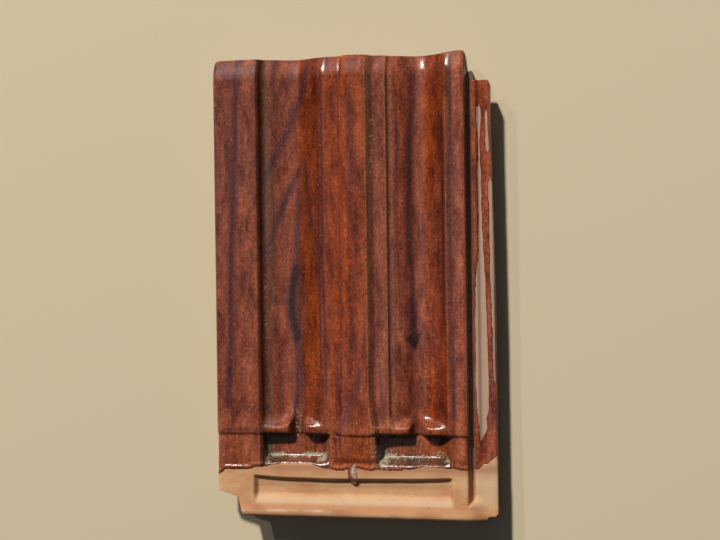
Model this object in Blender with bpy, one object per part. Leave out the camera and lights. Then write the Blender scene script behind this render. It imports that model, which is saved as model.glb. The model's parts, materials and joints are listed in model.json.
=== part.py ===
"""Interlocking clay roof tile of the French pattern, glazed face up, in metres with +Z up.

The tile is one pressed and fired piece, so it is one closed solid called tile.
X runs across the tile, from the cover strip on the left to the lock flange on the right.
Y runs along the tile, with the tail (the lower end on a roof) at +Y and the head at -Y.
It stands on four short feet under its face, so Z = 0 is the plane that it lies on.
"""
import math

import bmesh
import bpy

# Thickness of the clay, and how far the feet hang below it.
BODY_THICKNESS = 0.0105
FOOT_DEPTH = 0.0120

# Heights above the lowest line of the two pans, where the rain water runs.
STRIP_RISE = 0.0110
PAN_ONE_FALL = 0.0046
LEFT_SHOULDER_RISE = 0.0094
SHOULDER_FALL = 0.0016
CENTRE_RISE = 0.0170
RIGHT_SHOULDER_RISE = 0.0100
PAN_TWO_FALL = 0.0060
RIGHT_BAND_RISE = 0.0125
FLANGE_RIB_RISE = 0.0030
SHALLOW_GROOVE_RISE = 0.0008
LEDGE_RISE = 0.0085

# Depths below the lowest line of the pans, and of the cross groove below its ledge.
SIDE_GROOVE_DEPTH = 0.0020
RECESS_DEPTH = 0.0015
CROSS_GROOVE_DEPTH = 0.0057

# Widths across the face, from the left edge to the right. Together they are 260 mm.
STRIP_WIDTH = 0.0438
PAN_ONE_WIDTH = 0.0365
SLOPE_ONE_WIDTH = 0.0223
LEFT_SHOULDER_WIDTH = 0.0193
CENTRE_BAND_WIDTH = 0.0240
RIGHT_SHOULDER_WIDTH = 0.0179
PAN_TWO_WIDTH = 0.0270
SLOPE_TWO_WIDTH = 0.0254
RIGHT_BAND_WIDTH = 0.0180
SIDE_GROOVE_WIDTH = 0.0063
RIB_ONE_WIDTH = 0.0044
SHALLOW_GROOVE_WIDTH = 0.0062
RIB_TWO_WIDTH = 0.0089

# Lengths along the tile, from the tail to the head. Together they are 425 mm.
PLAIN_LENGTH = 0.349
RECESS_LENGTH = 0.026
LEDGE_LENGTH = 0.012
CROSS_GROOVE_LENGTH = 0.025
RIM_LENGTH = 0.013

# Shapes at the two ends.
TAIL_ROUND = 0.009
TAIL_DROP = 0.0048
TAIL_CORNER = 0.005
FLANGE_SET_BACK = 0.024
LAP_STEP = 0.0020
MIDDLE_LAP_FALL = 0.0040
HOLLOW_END = 0.008
HOLLOW_RUN_OUT = 0.024
CROSS_GROOVE_RUN_OUT = 0.0090
HEAD_ROUND = 0.0045
HEAD_DROP = 0.0024
CORNER_CUT_LENGTH = 0.0186
CORNER_CUT_WIDTH = 0.0186
FLANGE_SHORT_OF_HEAD = 0.0032

# Weather stops that close the pans, and the gaps that let the water out between them.
DAM_LENGTH = 0.0095
DAM_SCOOP = 0.0150
DAM_RISE = 0.0094
DAM_BOW = 0.0060
WEEP_WIDTH = 0.0080

# Fits between neighbouring tiles.
HOOK_SIDE_CLEARANCE = 0.0003
HOOK_TIP_CLEARANCE = 0.0008
STRIP_CLEARANCE = 0.0015

# Feet: two nibs that hang behind the roof batten, and two ribs that sit in the next tile's cross groove.
NIB_WIDTH = 0.028
NIB_LENGTH = 0.014
NIB_FROM_HEAD = 0.015
TAIL_RIB_WIDTH = 0.032
TAIL_RIB_LENGTH = 0.011
TAIL_RIB_FROM_TAIL = 0.040
FOOT_DRAFT = 0.0020
FOOT_ROOT = 0.0040

# Places that follow from the sizes above, from the left edge.
X_STRIP = STRIP_WIDTH
X_PAN_ONE = X_STRIP + PAN_ONE_WIDTH
X_SLOPE_ONE = X_PAN_ONE + SLOPE_ONE_WIDTH
X_CENTRE = X_SLOPE_ONE + LEFT_SHOULDER_WIDTH
X_CENTRE_END = X_CENTRE + CENTRE_BAND_WIDTH
X_PAN_TWO = X_CENTRE_END + RIGHT_SHOULDER_WIDTH
X_PAN_TWO_END = X_PAN_TWO + PAN_TWO_WIDTH
X_BAND = X_PAN_TWO_END + SLOPE_TWO_WIDTH
X_BAND_END = X_BAND + RIGHT_BAND_WIDTH
X_FLANGE = X_BAND_END + SIDE_GROOVE_WIDTH
X_SHALLOW = X_FLANGE + RIB_ONE_WIDTH
X_RIB_TWO = X_SHALLOW + SHALLOW_GROOVE_WIDTH
TILE_WIDTH = X_RIB_TWO + RIB_TWO_WIDTH

# Places along the tile, from the tail.
Y_STEP = PLAIN_LENGTH
Y_LEDGE = Y_STEP + RECESS_LENGTH
Y_GROOVE = Y_LEDGE + LEDGE_LENGTH
Y_GROOVE_END = Y_GROOVE + CROSS_GROOVE_LENGTH
TILE_LENGTH = Y_GROOVE_END + RIM_LENGTH

# Levels, from the lowest line of the pans.
GROOVE_Z = -SIDE_GROOVE_DEPTH
RIB_Z = FLANGE_RIB_RISE
SHALLOW_Z = SHALLOW_GROOVE_RISE
RECESS_Z = -RECESS_DEPTH
CROSS_GROOVE_Z = LEDGE_RISE - CROSS_GROOVE_DEPTH
PAN_UNDER_Z = -BODY_THICKNESS - 0.0005
FLANGE_UNDER_Z = GROOVE_Z - 0.54 * BODY_THICKNESS
STRIP_UNDER_Z = RIB_Z + STRIP_CLEARANCE
FOOT_Z = PAN_UNDER_Z - FOOT_DEPTH


def rounded_edge(x, z, side, radius=0.0022):
    """Three points that round the top edge of a band. side is +1 where the face falls away to the right."""
    inner = (x - side * radius, z)
    corner = (x - side * 0.28 * radius, z - 0.28 * radius)
    outer = (x + side * 0.12 * radius, z - 0.9 * radius)
    points = [inner, corner, outer]
    return points if side > 0 else points[::-1]


def flange_points():
    """Right end of every cross section: side groove, first rib, shallow groove, outer rib."""
    return [
        (X_BAND_END + 0.0014, GROOVE_Z + 0.0010),
        (X_BAND_END + 0.0022, GROOVE_Z),
        (X_FLANGE - 0.0010, GROOVE_Z),
        (X_FLANGE + 0.0002, GROOVE_Z + 0.0010),
        (X_FLANGE + 0.0011, RIB_Z - 0.0006),
        (X_FLANGE + 0.0022, RIB_Z),
        (X_SHALLOW - 0.0010, RIB_Z),
        (X_SHALLOW, RIB_Z - 0.0008),
        (X_SHALLOW + 0.0010, SHALLOW_Z),
        (X_RIB_TWO - 0.0024, SHALLOW_Z),
        (X_RIB_TWO, RIB_Z - 0.0006),
        (X_RIB_TWO + 0.0019, RIB_Z),
        (TILE_WIDTH - 0.0025, RIB_Z),
        (TILE_WIDTH - 0.0007, RIB_Z - 0.0008),
        (TILE_WIDTH, RIB_Z - 0.0025),
    ]


def face_points():
    """Cross section of the glazed face along its plain length."""
    pan_one = 0.5 * (X_STRIP + X_PAN_ONE)
    pan_two = 0.5 * (X_PAN_TWO + X_PAN_TWO_END)
    points = [(0.0, STRIP_RISE - 0.0035), (0.0009, STRIP_RISE - 0.0011), (0.0033, STRIP_RISE)]
    points += rounded_edge(X_STRIP, STRIP_RISE, 1)
    points += [(X_STRIP + 0.0016, PAN_ONE_FALL + 0.0012), (X_STRIP + 0.0030, PAN_ONE_FALL + 0.0002)]
    points += [(X_STRIP + 0.0050, PAN_ONE_FALL), (pan_one, 0.48 * PAN_ONE_FALL)]
    points += [(X_PAN_ONE - 0.0072, 0.0002), (X_PAN_ONE - 0.0004, 0.0)]
    points += [(X_PAN_ONE + 0.0012, 0.0005), (X_PAN_ONE + 0.0036, 0.0017)]
    points += [(X_SLOPE_ONE - 0.0024, LEFT_SHOULDER_RISE - 0.0016)]
    points += [(X_SLOPE_ONE + 0.0004, LEFT_SHOULDER_RISE - 0.0005)]
    points += [(X_SLOPE_ONE + 0.0036, LEFT_SHOULDER_RISE)]
    points += [(X_CENTRE - 0.0008, LEFT_SHOULDER_RISE + SHOULDER_FALL)]
    points += [(X_CENTRE + 0.0010, CENTRE_RISE - 0.0010), (X_CENTRE + 0.0028, CENTRE_RISE)]
    points += rounded_edge(X_CENTRE_END, CENTRE_RISE, 1)
    points += [(X_CENTRE_END + 0.0045, RIGHT_SHOULDER_RISE + 0.0006)]
    points += [(X_CENTRE_END + 0.0066, RIGHT_SHOULDER_RISE)]
    points += rounded_edge(X_PAN_TWO, RIGHT_SHOULDER_RISE, 1)
    points += [(X_PAN_TWO + 0.0018, PAN_TWO_FALL + 0.0010), (X_PAN_TWO + 0.0036, PAN_TWO_FALL)]
    points += [(pan_two, 0.42 * PAN_TWO_FALL), (X_PAN_TWO_END - 0.0068, 0.0002), (X_PAN_TWO_END, 0.0)]
    points += [(X_PAN_TWO_END + 0.0030, 0.0009), (X_PAN_TWO_END + 0.0060, 0.0023)]
    points += [(X_BAND - 0.0025, 0.70 * RIGHT_BAND_RISE), (X_BAND, 0.75 * RIGHT_BAND_RISE)]
    points += [(X_BAND + 0.0012, RIGHT_BAND_RISE - 0.0008), (X_BAND + 0.0034, RIGHT_BAND_RISE)]
    points += rounded_edge(X_BAND_END, RIGHT_BAND_RISE, 1)
    return points + flange_points()


def lap_points():
    """Cross section of the head lap: three lowered bands with a recess on each side of the middle one."""
    middle = X_CENTRE - 0.0165
    middle_end = X_CENTRE_END + 0.0062
    band = CENTRE_RISE - LAP_STEP
    strip = STRIP_RISE - LAP_STEP
    right = RIGHT_BAND_RISE - LAP_STEP
    points = [(0.0, strip - 0.0035), (0.0009, strip - 0.0011), (0.0033, strip)]
    points += rounded_edge(X_STRIP + 0.0004, strip, 1, 0.0016)
    points += [(X_STRIP + 0.0020, RECESS_Z + 0.0008), (X_STRIP + 0.0036, RECESS_Z)]
    points += [(X_PAN_ONE, RECESS_Z), (middle, 0.7 * LEFT_SHOULDER_RISE)]
    points += [(middle + 0.0065, band - 0.0007), (middle + 0.0085, band)]
    points += rounded_edge(middle_end, band, 1, 0.0018)
    points += [(middle_end + 0.0016, RECESS_Z + 0.0008), (middle_end + 0.0034, RECESS_Z)]
    points += [(X_PAN_TWO_END, RECESS_Z), (X_BAND - 0.0020, 0.60 * right), (X_BAND + 0.0015, 0.68 * right)]
    points += [(X_BAND + 0.0032, right - 0.0008), (X_BAND + 0.0050, right)]
    points += rounded_edge(X_BAND_END, right, 1)
    return points + flange_points()


def ledge_points():
    """Cross section of the bare clay at the head, level from the left edge to the side groove."""
    points = [(0.0, LEDGE_RISE - 0.0026), (0.0008, LEDGE_RISE - 0.0008), (0.0028, LEDGE_RISE)]
    points += rounded_edge(X_BAND_END + 0.0004, LEDGE_RISE, 1, 0.0018)
    return points + flange_points()


def under_points(closed):
    """Cross section of the underside. closed runs from 0 (hollow bands) to 1 (solid head)."""
    pitch = X_BAND_END + 0.0016
    tip_z = GROOVE_Z + HOOK_TIP_CLEARANCE
    short_tip_z = SHALLOW_Z + HOOK_TIP_CLEARANCE
    tip_start = X_BAND_END + 0.0022 + HOOK_SIDE_CLEARANCE - pitch
    tip_end = X_FLANGE - 0.0010 - HOOK_SIDE_CLEARANCE - pitch
    short_start = X_SHALLOW + 0.0010 + HOOK_SIDE_CLEARANCE - pitch
    short_end = X_RIB_TWO - 0.0024 - HOOK_SIDE_CLEARANCE - pitch
    points = [(0.0, tip_z + 0.0012), (tip_start, tip_z), (tip_end, tip_z)]
    points += [(tip_end + 0.0022, STRIP_UNDER_Z), (short_start - 0.0014, STRIP_UNDER_Z)]
    points += [(short_start, short_tip_z), (short_end, short_tip_z), (short_end + 0.0020, STRIP_UNDER_Z)]
    points += [(X_STRIP - 0.0135, STRIP_UNDER_Z), (X_STRIP - 0.0118, STRIP_UNDER_Z - 0.0012)]
    points += [(X_STRIP - 0.0096, PAN_UNDER_Z + 0.0012), (X_STRIP - 0.0082, PAN_UNDER_Z)]
    centre_z = CENTRE_RISE - BODY_THICKNESS
    left_z = LEFT_SHOULDER_RISE - BODY_THICKNESS
    right_z = RIGHT_SHOULDER_RISE - BODY_THICKNESS
    band_z = RIGHT_BAND_RISE - BODY_THICKNESS
    hollow = [(X_PAN_ONE + 0.0062, PAN_UNDER_Z), (X_PAN_ONE + 0.0078, PAN_UNDER_Z + 0.0012)]
    hollow += [(X_SLOPE_ONE - 0.0010, left_z - 0.0007), (X_SLOPE_ONE + 0.0150, left_z + 0.0003)]
    hollow += [(X_CENTRE + 0.0032, centre_z - 0.0015), (X_CENTRE + 0.0060, centre_z)]
    hollow += [(X_CENTRE_END - 0.0045, centre_z), (X_CENTRE_END + 0.0005, right_z + 0.0004)]
    hollow += [(X_PAN_TWO - 0.0095, right_z), (X_PAN_TWO - 0.0040, PAN_UNDER_Z + 0.0012)]
    hollow += [(X_PAN_TWO - 0.0026, PAN_UNDER_Z)]
    hollow += [(X_PAN_TWO_END + 0.0075, PAN_UNDER_Z), (X_PAN_TWO_END + 0.0090, PAN_UNDER_Z + 0.0012)]
    hollow += [(X_BAND - 0.0040, band_z - 0.0015), (X_BAND + 0.0015, band_z)]
    hollow += [(X_BAND_END - 0.0085, band_z), (X_BAND_END - 0.0065, band_z - 0.0015)]
    hollow += [(X_BAND_END - 0.0040, PAN_UNDER_Z + 0.0012), (X_BAND_END - 0.0026, PAN_UNDER_Z)]
    points += [(x, z + closed * (PAN_UNDER_Z - z)) for x, z in hollow]
    points += [(X_FLANGE - 0.0045, PAN_UNDER_Z), (X_FLANGE - 0.0020, FLANGE_UNDER_Z)]
    points += [(TILE_WIDTH - 0.0018, FLANGE_UNDER_Z), (TILE_WIDTH, FLANGE_UNDER_Z + 0.0018)]
    return points


def height_on(points, x):
    """Height of a cross section at x, by straight lines between its points."""
    if x <= points[0][0]:
        return points[0][1]
    for (x0, z0), (x1, z1) in zip(points, points[1:]):
        if x <= x1:
            return z0 + (z1 - z0) * (x - x0) / (x1 - x0)
    return points[-1][1]


def ramp(value, start, end):
    """0 before start, 1 after end, straight between. Works downwards too."""
    return min(max((value - start) / (end - start), 0.0), 1.0)


def smooth(t):
    return t * t * (3.0 - 2.0 * t)


def weep_gaps():
    """Start and end across the tile of the two gaps between the weather stops."""
    first = X_PAN_ONE - 0.0065
    second = X_PAN_TWO_END - 0.0062
    return (first, first + WEEP_WIDTH), (second, second + WEEP_WIDTH)


def dam_height(x, y):
    """Weather stops: the end of each pan scooped up to a crest that bows towards the head."""
    (gap_one, gap_one_end), (gap_two, gap_two_end) = weep_gaps()
    spans = [
        (X_STRIP + 0.0010, gap_one),
        (gap_one_end, X_CENTRE - 0.0010),
        (X_CENTRE_END, gap_two),
        (gap_two_end, X_BAND + 0.0020),
    ]
    for start, end in spans:
        if start <= x <= end:
            across = abs(2.0 * (x - start) / (end - start) - 1.0)
            crest = Y_STEP - DAM_LENGTH - DAM_BOW * across ** 2
            edge = min(ramp(x, start, start + 0.0012), ramp(x, end, end - 0.0012))
            rise = DAM_RISE - 0.0014 * across ** 2
            return rise * edge * smooth(ramp(y, crest - DAM_SCOOP, crest))
    return -1.0


def face_height(x, y):
    """Height of the glazed face and of the bare head at any place."""
    z = height_on(FACE, x)
    z = max(z, dam_height(x, y))
    # Tail: the whole end rolls over, as far as the wall of the right band.
    drop = TAIL_DROP * ramp(x, X_BAND_END + 0.0014, X_BAND_END)
    z -= drop * (1.0 - math.sqrt(1.0 - (1.0 - ramp(y, 0.0, TAIL_ROUND)) ** 2))
    # Head lap: bands step down and the pans open into the recesses.
    lap = height_on(LAP, x)
    if X_CENTRE - 0.0165 < x < X_CENTRE_END + 0.0078:
        lap -= MIDDLE_LAP_FALL * ramp(y, Y_STEP, Y_LEDGE) * ramp(lap, RECESS_Z, CENTRE_RISE - LAP_STEP)
    z += ramp(y, Y_STEP - 0.0018, Y_STEP) * (lap - z)
    z += smooth(ramp(y, Y_LEDGE - 0.0060, Y_LEDGE + 0.0020)) * (height_on(LEDGE, x) - z)
    # Cross groove for the next tile's tail ribs.
    start = X_STRIP - 0.0085
    end = X_BAND + 0.0035
    across = min(ramp(x, start, start + 0.0016), ramp(x, end, end - 0.0026))
    along = min(ramp(y, Y_GROOVE, Y_GROOVE + 0.0014), ramp(y, Y_GROOVE_END, Y_GROOVE_END - CROSS_GROOVE_RUN_OUT))
    z += min(across, along) * (CROSS_GROOVE_Z - z)
    # The side groove runs out at the head, where the body reaches over to the flange.
    if X_BAND_END < x < X_RIB_TWO:
        z += ramp(y, Y_GROOVE_END - 0.0060, Y_GROOVE_END) * (RIB_Z + 0.0027 - z)
    # Rounded edge at the head.
    z -= HEAD_DROP * (1.0 - math.sqrt(1.0 - ramp(y, TILE_LENGTH - HEAD_ROUND, TILE_LENGTH) ** 2))
    return z


def under_height(x, y):
    closed = smooth(ramp(y, Y_STEP - HOLLOW_END - HOLLOW_RUN_OUT, Y_STEP - HOLLOW_END))
    z = height_on(under_points(closed), x)
    # Rounded lower edges at the tail and the head.
    z += 0.0014 * (1.0 - ramp(y, 0.0, 0.0025)) + 0.0014 * ramp(y, TILE_LENGTH - 0.0018, TILE_LENGTH)
    return z


def thinned(values, gap):
    """Sorted values without any that lies closer than gap to the one before."""
    kept = []
    for value in sorted(values):
        if not kept or value - kept[-1] > gap:
            kept.append(value)
    return kept


def columns_of_face():
    """Places across the tile where the face needs a vertex."""
    values = [x for x, z in FACE] + [x for x, z in LAP if x < X_BAND_END]
    for start, end in weep_gaps():
        values += [start - 0.0012, start, end, end + 0.0012]
    for start, end in ((X_STRIP, weep_gaps()[0][0]), (X_PAN_TWO, weep_gaps()[1][0])):
        values += [start + part * (end - start) for part in (0.33, 0.52, 0.72, 0.88)]
    start = X_STRIP - 0.0085
    end = X_BAND + 0.0035
    values += [start, start + 0.0016, end - 0.0026, end]
    values += [X_RIB_TWO - 0.0006, X_RIB_TWO]
    return thinned(values, 0.00045)


def rows_of_tile():
    """Places along the tile where the cross section changes."""
    values = [0.0, 0.0008, 0.0025, 0.0052, TAIL_ROUND]
    crest = Y_STEP - DAM_LENGTH
    closing = Y_STEP - HOLLOW_END - HOLLOW_RUN_OUT
    values += [closing + part * HOLLOW_RUN_OUT for part in (0.0, 0.25, 0.5, 0.75, 1.0)]
    values += [crest - DAM_BOW - DAM_SCOOP, crest - DAM_BOW - 0.70 * DAM_SCOOP]
    values += [crest - 0.70 * DAM_SCOOP, crest - 0.45 * DAM_SCOOP, crest - 0.25 * DAM_SCOOP]
    values += [crest, Y_STEP - 0.0018, Y_STEP, Y_STEP + 0.5 * RECESS_LENGTH]
    values += [Y_LEDGE - 0.0060, Y_LEDGE - 0.0036, Y_LEDGE - 0.0012, Y_LEDGE + 0.0020]
    values += [Y_GROOVE, Y_GROOVE + 0.0014, Y_GROOVE_END - CROSS_GROOVE_RUN_OUT]
    values += [Y_GROOVE_END - 0.0060, Y_GROOVE_END]
    values += [TILE_LENGTH - HEAD_ROUND, TILE_LENGTH - 0.0018, TILE_LENGTH - 0.0004, TILE_LENGTH]
    return thinned(values, 0.00035)


def warped(x, y):
    """Rounds the left corner of the tail and spreads the middle band before the head lap."""
    corner = TAIL_CORNER - y
    if corner > 0.0 and x < 0.010:
        inset = TAIL_CORNER - math.sqrt(max(TAIL_CORNER ** 2 - corner ** 2, 0.0))
        x = inset + x * (0.010 - inset) / 0.010
    spread = 0.0065 * smooth(ramp(y, Y_STEP - 0.050, Y_STEP - 0.010)) * (1.0 - ramp(y, Y_STEP - 0.0018, Y_STEP))
    left = X_SLOPE_ONE + 0.0036
    if left < x < X_CENTRE:
        x -= spread * (x - left) / (X_CENTRE - left)
    elif X_CENTRE <= x < X_CENTRE_END:
        x -= spread * (X_CENTRE_END - x) / (X_CENTRE_END - X_CENTRE)
    return x


def placed(x, y, z):
    """From the drawing's corner at the tail to the part's own frame."""
    return (x - 0.5 * TILE_WIDTH, 0.5 * TILE_LENGTH - y, z - FOOT_Z)


def mesh_object(name, bm):
    bmesh.ops.recalc_face_normals(bm, faces=bm.faces)
    mesh = bpy.data.meshes.new(name)
    bm.to_mesh(mesh)
    bm.free()
    obj = bpy.data.objects.new(name, mesh)
    bpy.context.collection.objects.link(obj)
    return obj


def row_of(bm, columns, y, height):
    """One row of vertices across the tile. Each is kept with its column, by which rows are joined."""
    return [(x, bm.verts.new(placed(warped(x, y), y, height(x, y)))) for x in columns]


def join_rows(bm, row, after):
    """Faces between two rows. Where only one row has a vertex, a triangle takes the place of a quad."""
    i = 0
    j = 0
    while i + 1 < len(row) or j + 1 < len(after):
        next_row = row[i + 1][0] if i + 1 < len(row) else math.inf
        next_after = after[j + 1][0] if j + 1 < len(after) else math.inf
        corners = [row[i][1]]
        if next_row <= next_after:
            corners.append(row[i + 1][1])
        if next_after <= next_row:
            corners.append(after[j + 1][1])
        corners.append(after[j][1])
        bm.faces.new(corners)
        i += next_row <= next_after
        j += next_after <= next_row


def make_body():
    """Lofts the tile from rows of vertices over its face and its underside.

    The two end rows have every column of both sides, so the ends close with upright strips.
    """
    bm = bmesh.new()
    rows = rows_of_tile()
    face_columns = columns_of_face()
    under_columns = [x for x, z in under_points(0.0)]
    end_columns = sorted(set(face_columns) | set(under_columns))
    sides = []
    for columns, height in ((face_columns, face_height), (under_columns, under_height)):
        lines = [row_of(bm, end_columns, rows[0], height)]
        lines += [row_of(bm, columns, y, height) for y in rows[1:-1]]
        lines.append(row_of(bm, end_columns, rows[-1], height))
        for line, after in zip(lines, lines[1:]):
            join_rows(bm, line, after)
        sides.append(lines)
    face, under = sides
    join_rows(bm, face[0], under[0])
    join_rows(bm, face[-1], under[-1])
    for edge in (0, -1):
        for i in range(len(rows) - 1):
            corners = (face[i][edge], face[i + 1][edge], under[i + 1][edge], under[i][edge])
            bm.faces.new([vert for x, vert in corners])
    return mesh_object("tile", bm)


def make_prism(name, outline, bottom, top):
    """A straight prism on an outline drawn from the tail's left corner."""
    bm = bmesh.new()
    verts = [bm.verts.new(placed(x, y, bottom)) for x, y in outline]
    face = bm.faces.new(verts)
    moved = bmesh.ops.extrude_face_region(bm, geom=[face])["geom"]
    lifted = [v for v in moved if isinstance(v, bmesh.types.BMVert)]
    bmesh.ops.translate(bm, verts=lifted, vec=(0.0, 0.0, top - bottom))
    return mesh_object(name, bm)


def make_foot(name, x, width, y, length, batten_side):
    """A foot that narrows downwards. batten_side keeps the face towards the tail upright."""
    bm = bmesh.new()
    rings = []
    for z, grow in ((FOOT_Z, 0.0), (PAN_UNDER_Z + FOOT_ROOT, FOOT_DRAFT)):
        front = y if batten_side else y - grow
        corners = [(x - grow, front), (x + width + grow, front)]
        corners += [(x + width + grow, y + length + grow), (x - grow, y + length + grow)]
        rings.append([bm.verts.new(placed(cx, cy, z)) for cx, cy in corners])
    for i in range(4):
        j = (i + 1) % 4
        bm.faces.new((rings[0][i], rings[0][j], rings[1][j], rings[1][i]))
    bm.faces.new(rings[0])
    bm.faces.new(rings[1])
    return mesh_object(name, bm)


def combine(obj, other, operation):
    """Adds or cuts one solid with another, then applies it and drops the other."""
    other.hide_render = True
    other.display_type = "WIRE"
    modifier = obj.modifiers.new(operation.title(), "BOOLEAN")
    modifier.operation = operation
    modifier.solver = "EXACT"
    modifier.object = other
    bpy.context.view_layer.update()
    depsgraph = bpy.context.evaluated_depsgraph_get()
    mesh = bpy.data.meshes.new_from_object(obj.evaluated_get(depsgraph))
    obj.modifiers.clear()
    obj.data = mesh
    bpy.data.objects.remove(other)


def glaze_material():
    material = bpy.data.materials.new("brown_glaze")
    material.use_nodes = True
    shader = material.node_tree.nodes["Principled BSDF"]
    shader.inputs["Base Color"].default_value = (0.150, 0.045, 0.026, 1.0)
    shader.inputs["Roughness"].default_value = 0.22
    shader.inputs["Metallic"].default_value = 0.0
    return material


for old in list(bpy.data.objects):
    bpy.data.objects.remove(old)

FACE = face_points()
LAP = lap_points()
LEDGE = ledge_points()

tile = make_body()

# The flange starts behind the tail, and the band's wall runs back to it at a slant.
tail_cut = [
    (X_BAND_END + 0.0004, -0.0020),
    (X_BAND_END + 0.0020, 0.0030),
    (X_FLANGE, FLANGE_SET_BACK - 0.0015),
    (X_FLANGE + 0.0015, FLANGE_SET_BACK),
    (TILE_WIDTH - 0.0035, FLANGE_SET_BACK),
    (TILE_WIDTH - 0.0011, FLANGE_SET_BACK + 0.0010),
    (TILE_WIDTH + 0.0006, FLANGE_SET_BACK + 0.0040),
    (TILE_WIDTH + 0.0030, FLANGE_SET_BACK + 0.0040),
    (TILE_WIDTH + 0.0030, -0.0020),
]
# The left corner of the head is cut away so that four tiles can meet.
corner_cut = [
    (-0.0020, TILE_LENGTH - CORNER_CUT_LENGTH - 0.0050),
    (CORNER_CUT_WIDTH - 0.0021, TILE_LENGTH - CORNER_CUT_LENGTH),
    (CORNER_CUT_WIDTH, TILE_LENGTH - CORNER_CUT_LENGTH + 0.0020),
    (CORNER_CUT_WIDTH + 0.0043, TILE_LENGTH + 0.0020),
    (-0.0020, TILE_LENGTH + 0.0020),
]
# The flange ends just short of the head, with both corners rounded.
flange_cut = [
    (X_FLANGE + 0.0010, TILE_LENGTH + 0.0020),
    (X_FLANGE + 0.0028, TILE_LENGTH - 0.0003),
    (X_RIB_TWO - 0.0032, TILE_LENGTH - 0.0012),
    (X_RIB_TWO - 0.0008, TILE_LENGTH - FLANGE_SHORT_OF_HEAD),
    (TILE_WIDTH - 0.0024, TILE_LENGTH - FLANGE_SHORT_OF_HEAD),
    (TILE_WIDTH + 0.0004, TILE_LENGTH - FLANGE_SHORT_OF_HEAD - 0.0028),
    (TILE_WIDTH + 0.0030, TILE_LENGTH - FLANGE_SHORT_OF_HEAD - 0.0028),
    (TILE_WIDTH + 0.0030, TILE_LENGTH + 0.0020),
]
low = FOOT_Z
high = CENTRE_RISE + 0.010
for number, outline in enumerate((tail_cut, corner_cut, flange_cut)):
    combine(tile, make_prism(f"cut_{number}", outline, low, high), "DIFFERENCE")

# Feet under the two pans.
pan_one_middle = 0.5 * (X_STRIP + 0.0024 + X_PAN_ONE + 0.0062)
pan_two_middle = 0.5 * (X_PAN_TWO - 0.0026 + X_PAN_TWO_END + 0.0075)
nib_start = TILE_LENGTH - NIB_FROM_HEAD - NIB_LENGTH
for number, middle in enumerate((pan_one_middle, pan_two_middle)):
    nib = make_foot(f"nib_{number}", middle - 0.5 * NIB_WIDTH, NIB_WIDTH, nib_start, NIB_LENGTH, True)
    combine(tile, nib, "UNION")
    rib_start = middle - 0.5 * TAIL_RIB_WIDTH
    rib = make_foot(f"rib_{number}", rib_start, TAIL_RIB_WIDTH, TAIL_RIB_FROM_TAIL, TAIL_RIB_LENGTH, False)
    combine(tile, rib, "UNION")

tile.name = "tile"
tile.data.name = "tile"
tile.data.materials.clear()
tile.data.materials.append(glaze_material())
print("tile", len(tile.data.vertices), "vertices", len(tile.data.polygons), "faces")
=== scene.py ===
# %% [markdown]
# # A glazed interlocking roof tile
# A flat clay tile of this kind is pressed between two plaster moulds, dried, dipped face down in a
# brown glaze and fired once. We build it as it was made: first the pressed clay body, then
# the coat of glaze that lies on it, then the small drips and crumbs that the kiln left behind.

# %% Load the shape
import json

import bpy
import numpy as np
from mathutils import Matrix, Vector

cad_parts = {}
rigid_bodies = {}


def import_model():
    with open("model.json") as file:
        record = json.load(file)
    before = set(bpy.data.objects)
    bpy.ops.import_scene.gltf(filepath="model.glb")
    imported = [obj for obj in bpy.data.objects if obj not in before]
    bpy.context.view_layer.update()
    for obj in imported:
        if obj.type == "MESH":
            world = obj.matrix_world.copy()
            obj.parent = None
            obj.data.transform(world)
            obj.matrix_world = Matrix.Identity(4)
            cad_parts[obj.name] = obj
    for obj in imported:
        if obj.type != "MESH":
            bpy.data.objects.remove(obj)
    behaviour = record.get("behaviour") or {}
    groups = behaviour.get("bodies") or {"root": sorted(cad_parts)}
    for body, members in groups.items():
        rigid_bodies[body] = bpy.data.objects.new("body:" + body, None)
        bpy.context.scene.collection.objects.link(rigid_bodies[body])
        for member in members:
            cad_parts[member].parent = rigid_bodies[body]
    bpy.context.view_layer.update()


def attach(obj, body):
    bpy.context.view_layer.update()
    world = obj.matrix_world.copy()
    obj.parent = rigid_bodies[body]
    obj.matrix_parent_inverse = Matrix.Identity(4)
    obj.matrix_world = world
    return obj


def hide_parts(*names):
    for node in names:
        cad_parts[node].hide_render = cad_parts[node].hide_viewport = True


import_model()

# %% [markdown]
# ## Measuring
# Millimetres are easier to read than metres for a thing this size. All heights and places below are
# in millimetres: x from the left edge, y from the tail, z above the lowest line of the pans. One
# helper turns them into the shared frame, and a few small ones make ramps, soft steps and peaks.

# %% Millimetres and ramps
WIDTH = 260.0
LENGTH = 425.0
FEET = 23.0


def placed(x, y, z):
    """Points in metres in the tile's frame, from places in millimetres."""
    return np.stack([x - 0.5 * WIDTH, 0.5 * LENGTH - y, z + FEET], axis=-1) / 1000.0


def ramp(value, start, end):
    """0 before start, 1 after end, straight between. Works downwards too."""
    return np.clip((value - start) / (end - start), 0, 1)


def soft(t):
    """Turns a straight ramp from 0 to 1 into a soft step."""
    return t * t * (3.0 - 2.0 * t)


def along(points, value):
    """Reads a drawn line at a value."""
    places = [p for p, z in points]
    heights = [z for p, z in points]
    return np.interp(value, places, heights)


def peak(value, middle, width, power=2):
    """1 at the middle, falling softly to both sides. A higher power gives a flatter top."""
    return np.exp(-((value - middle) / width) ** power)


def plateau(value, start, full, last, end):
    """0 before start and after end, 1 from full to last, straight between."""
    return ramp(value, start, full) * ramp(value, end, last)


print("ramp halfway:", float(ramp(5, 0, 10)), "soft step:", float(soft(0.25)))

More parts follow.
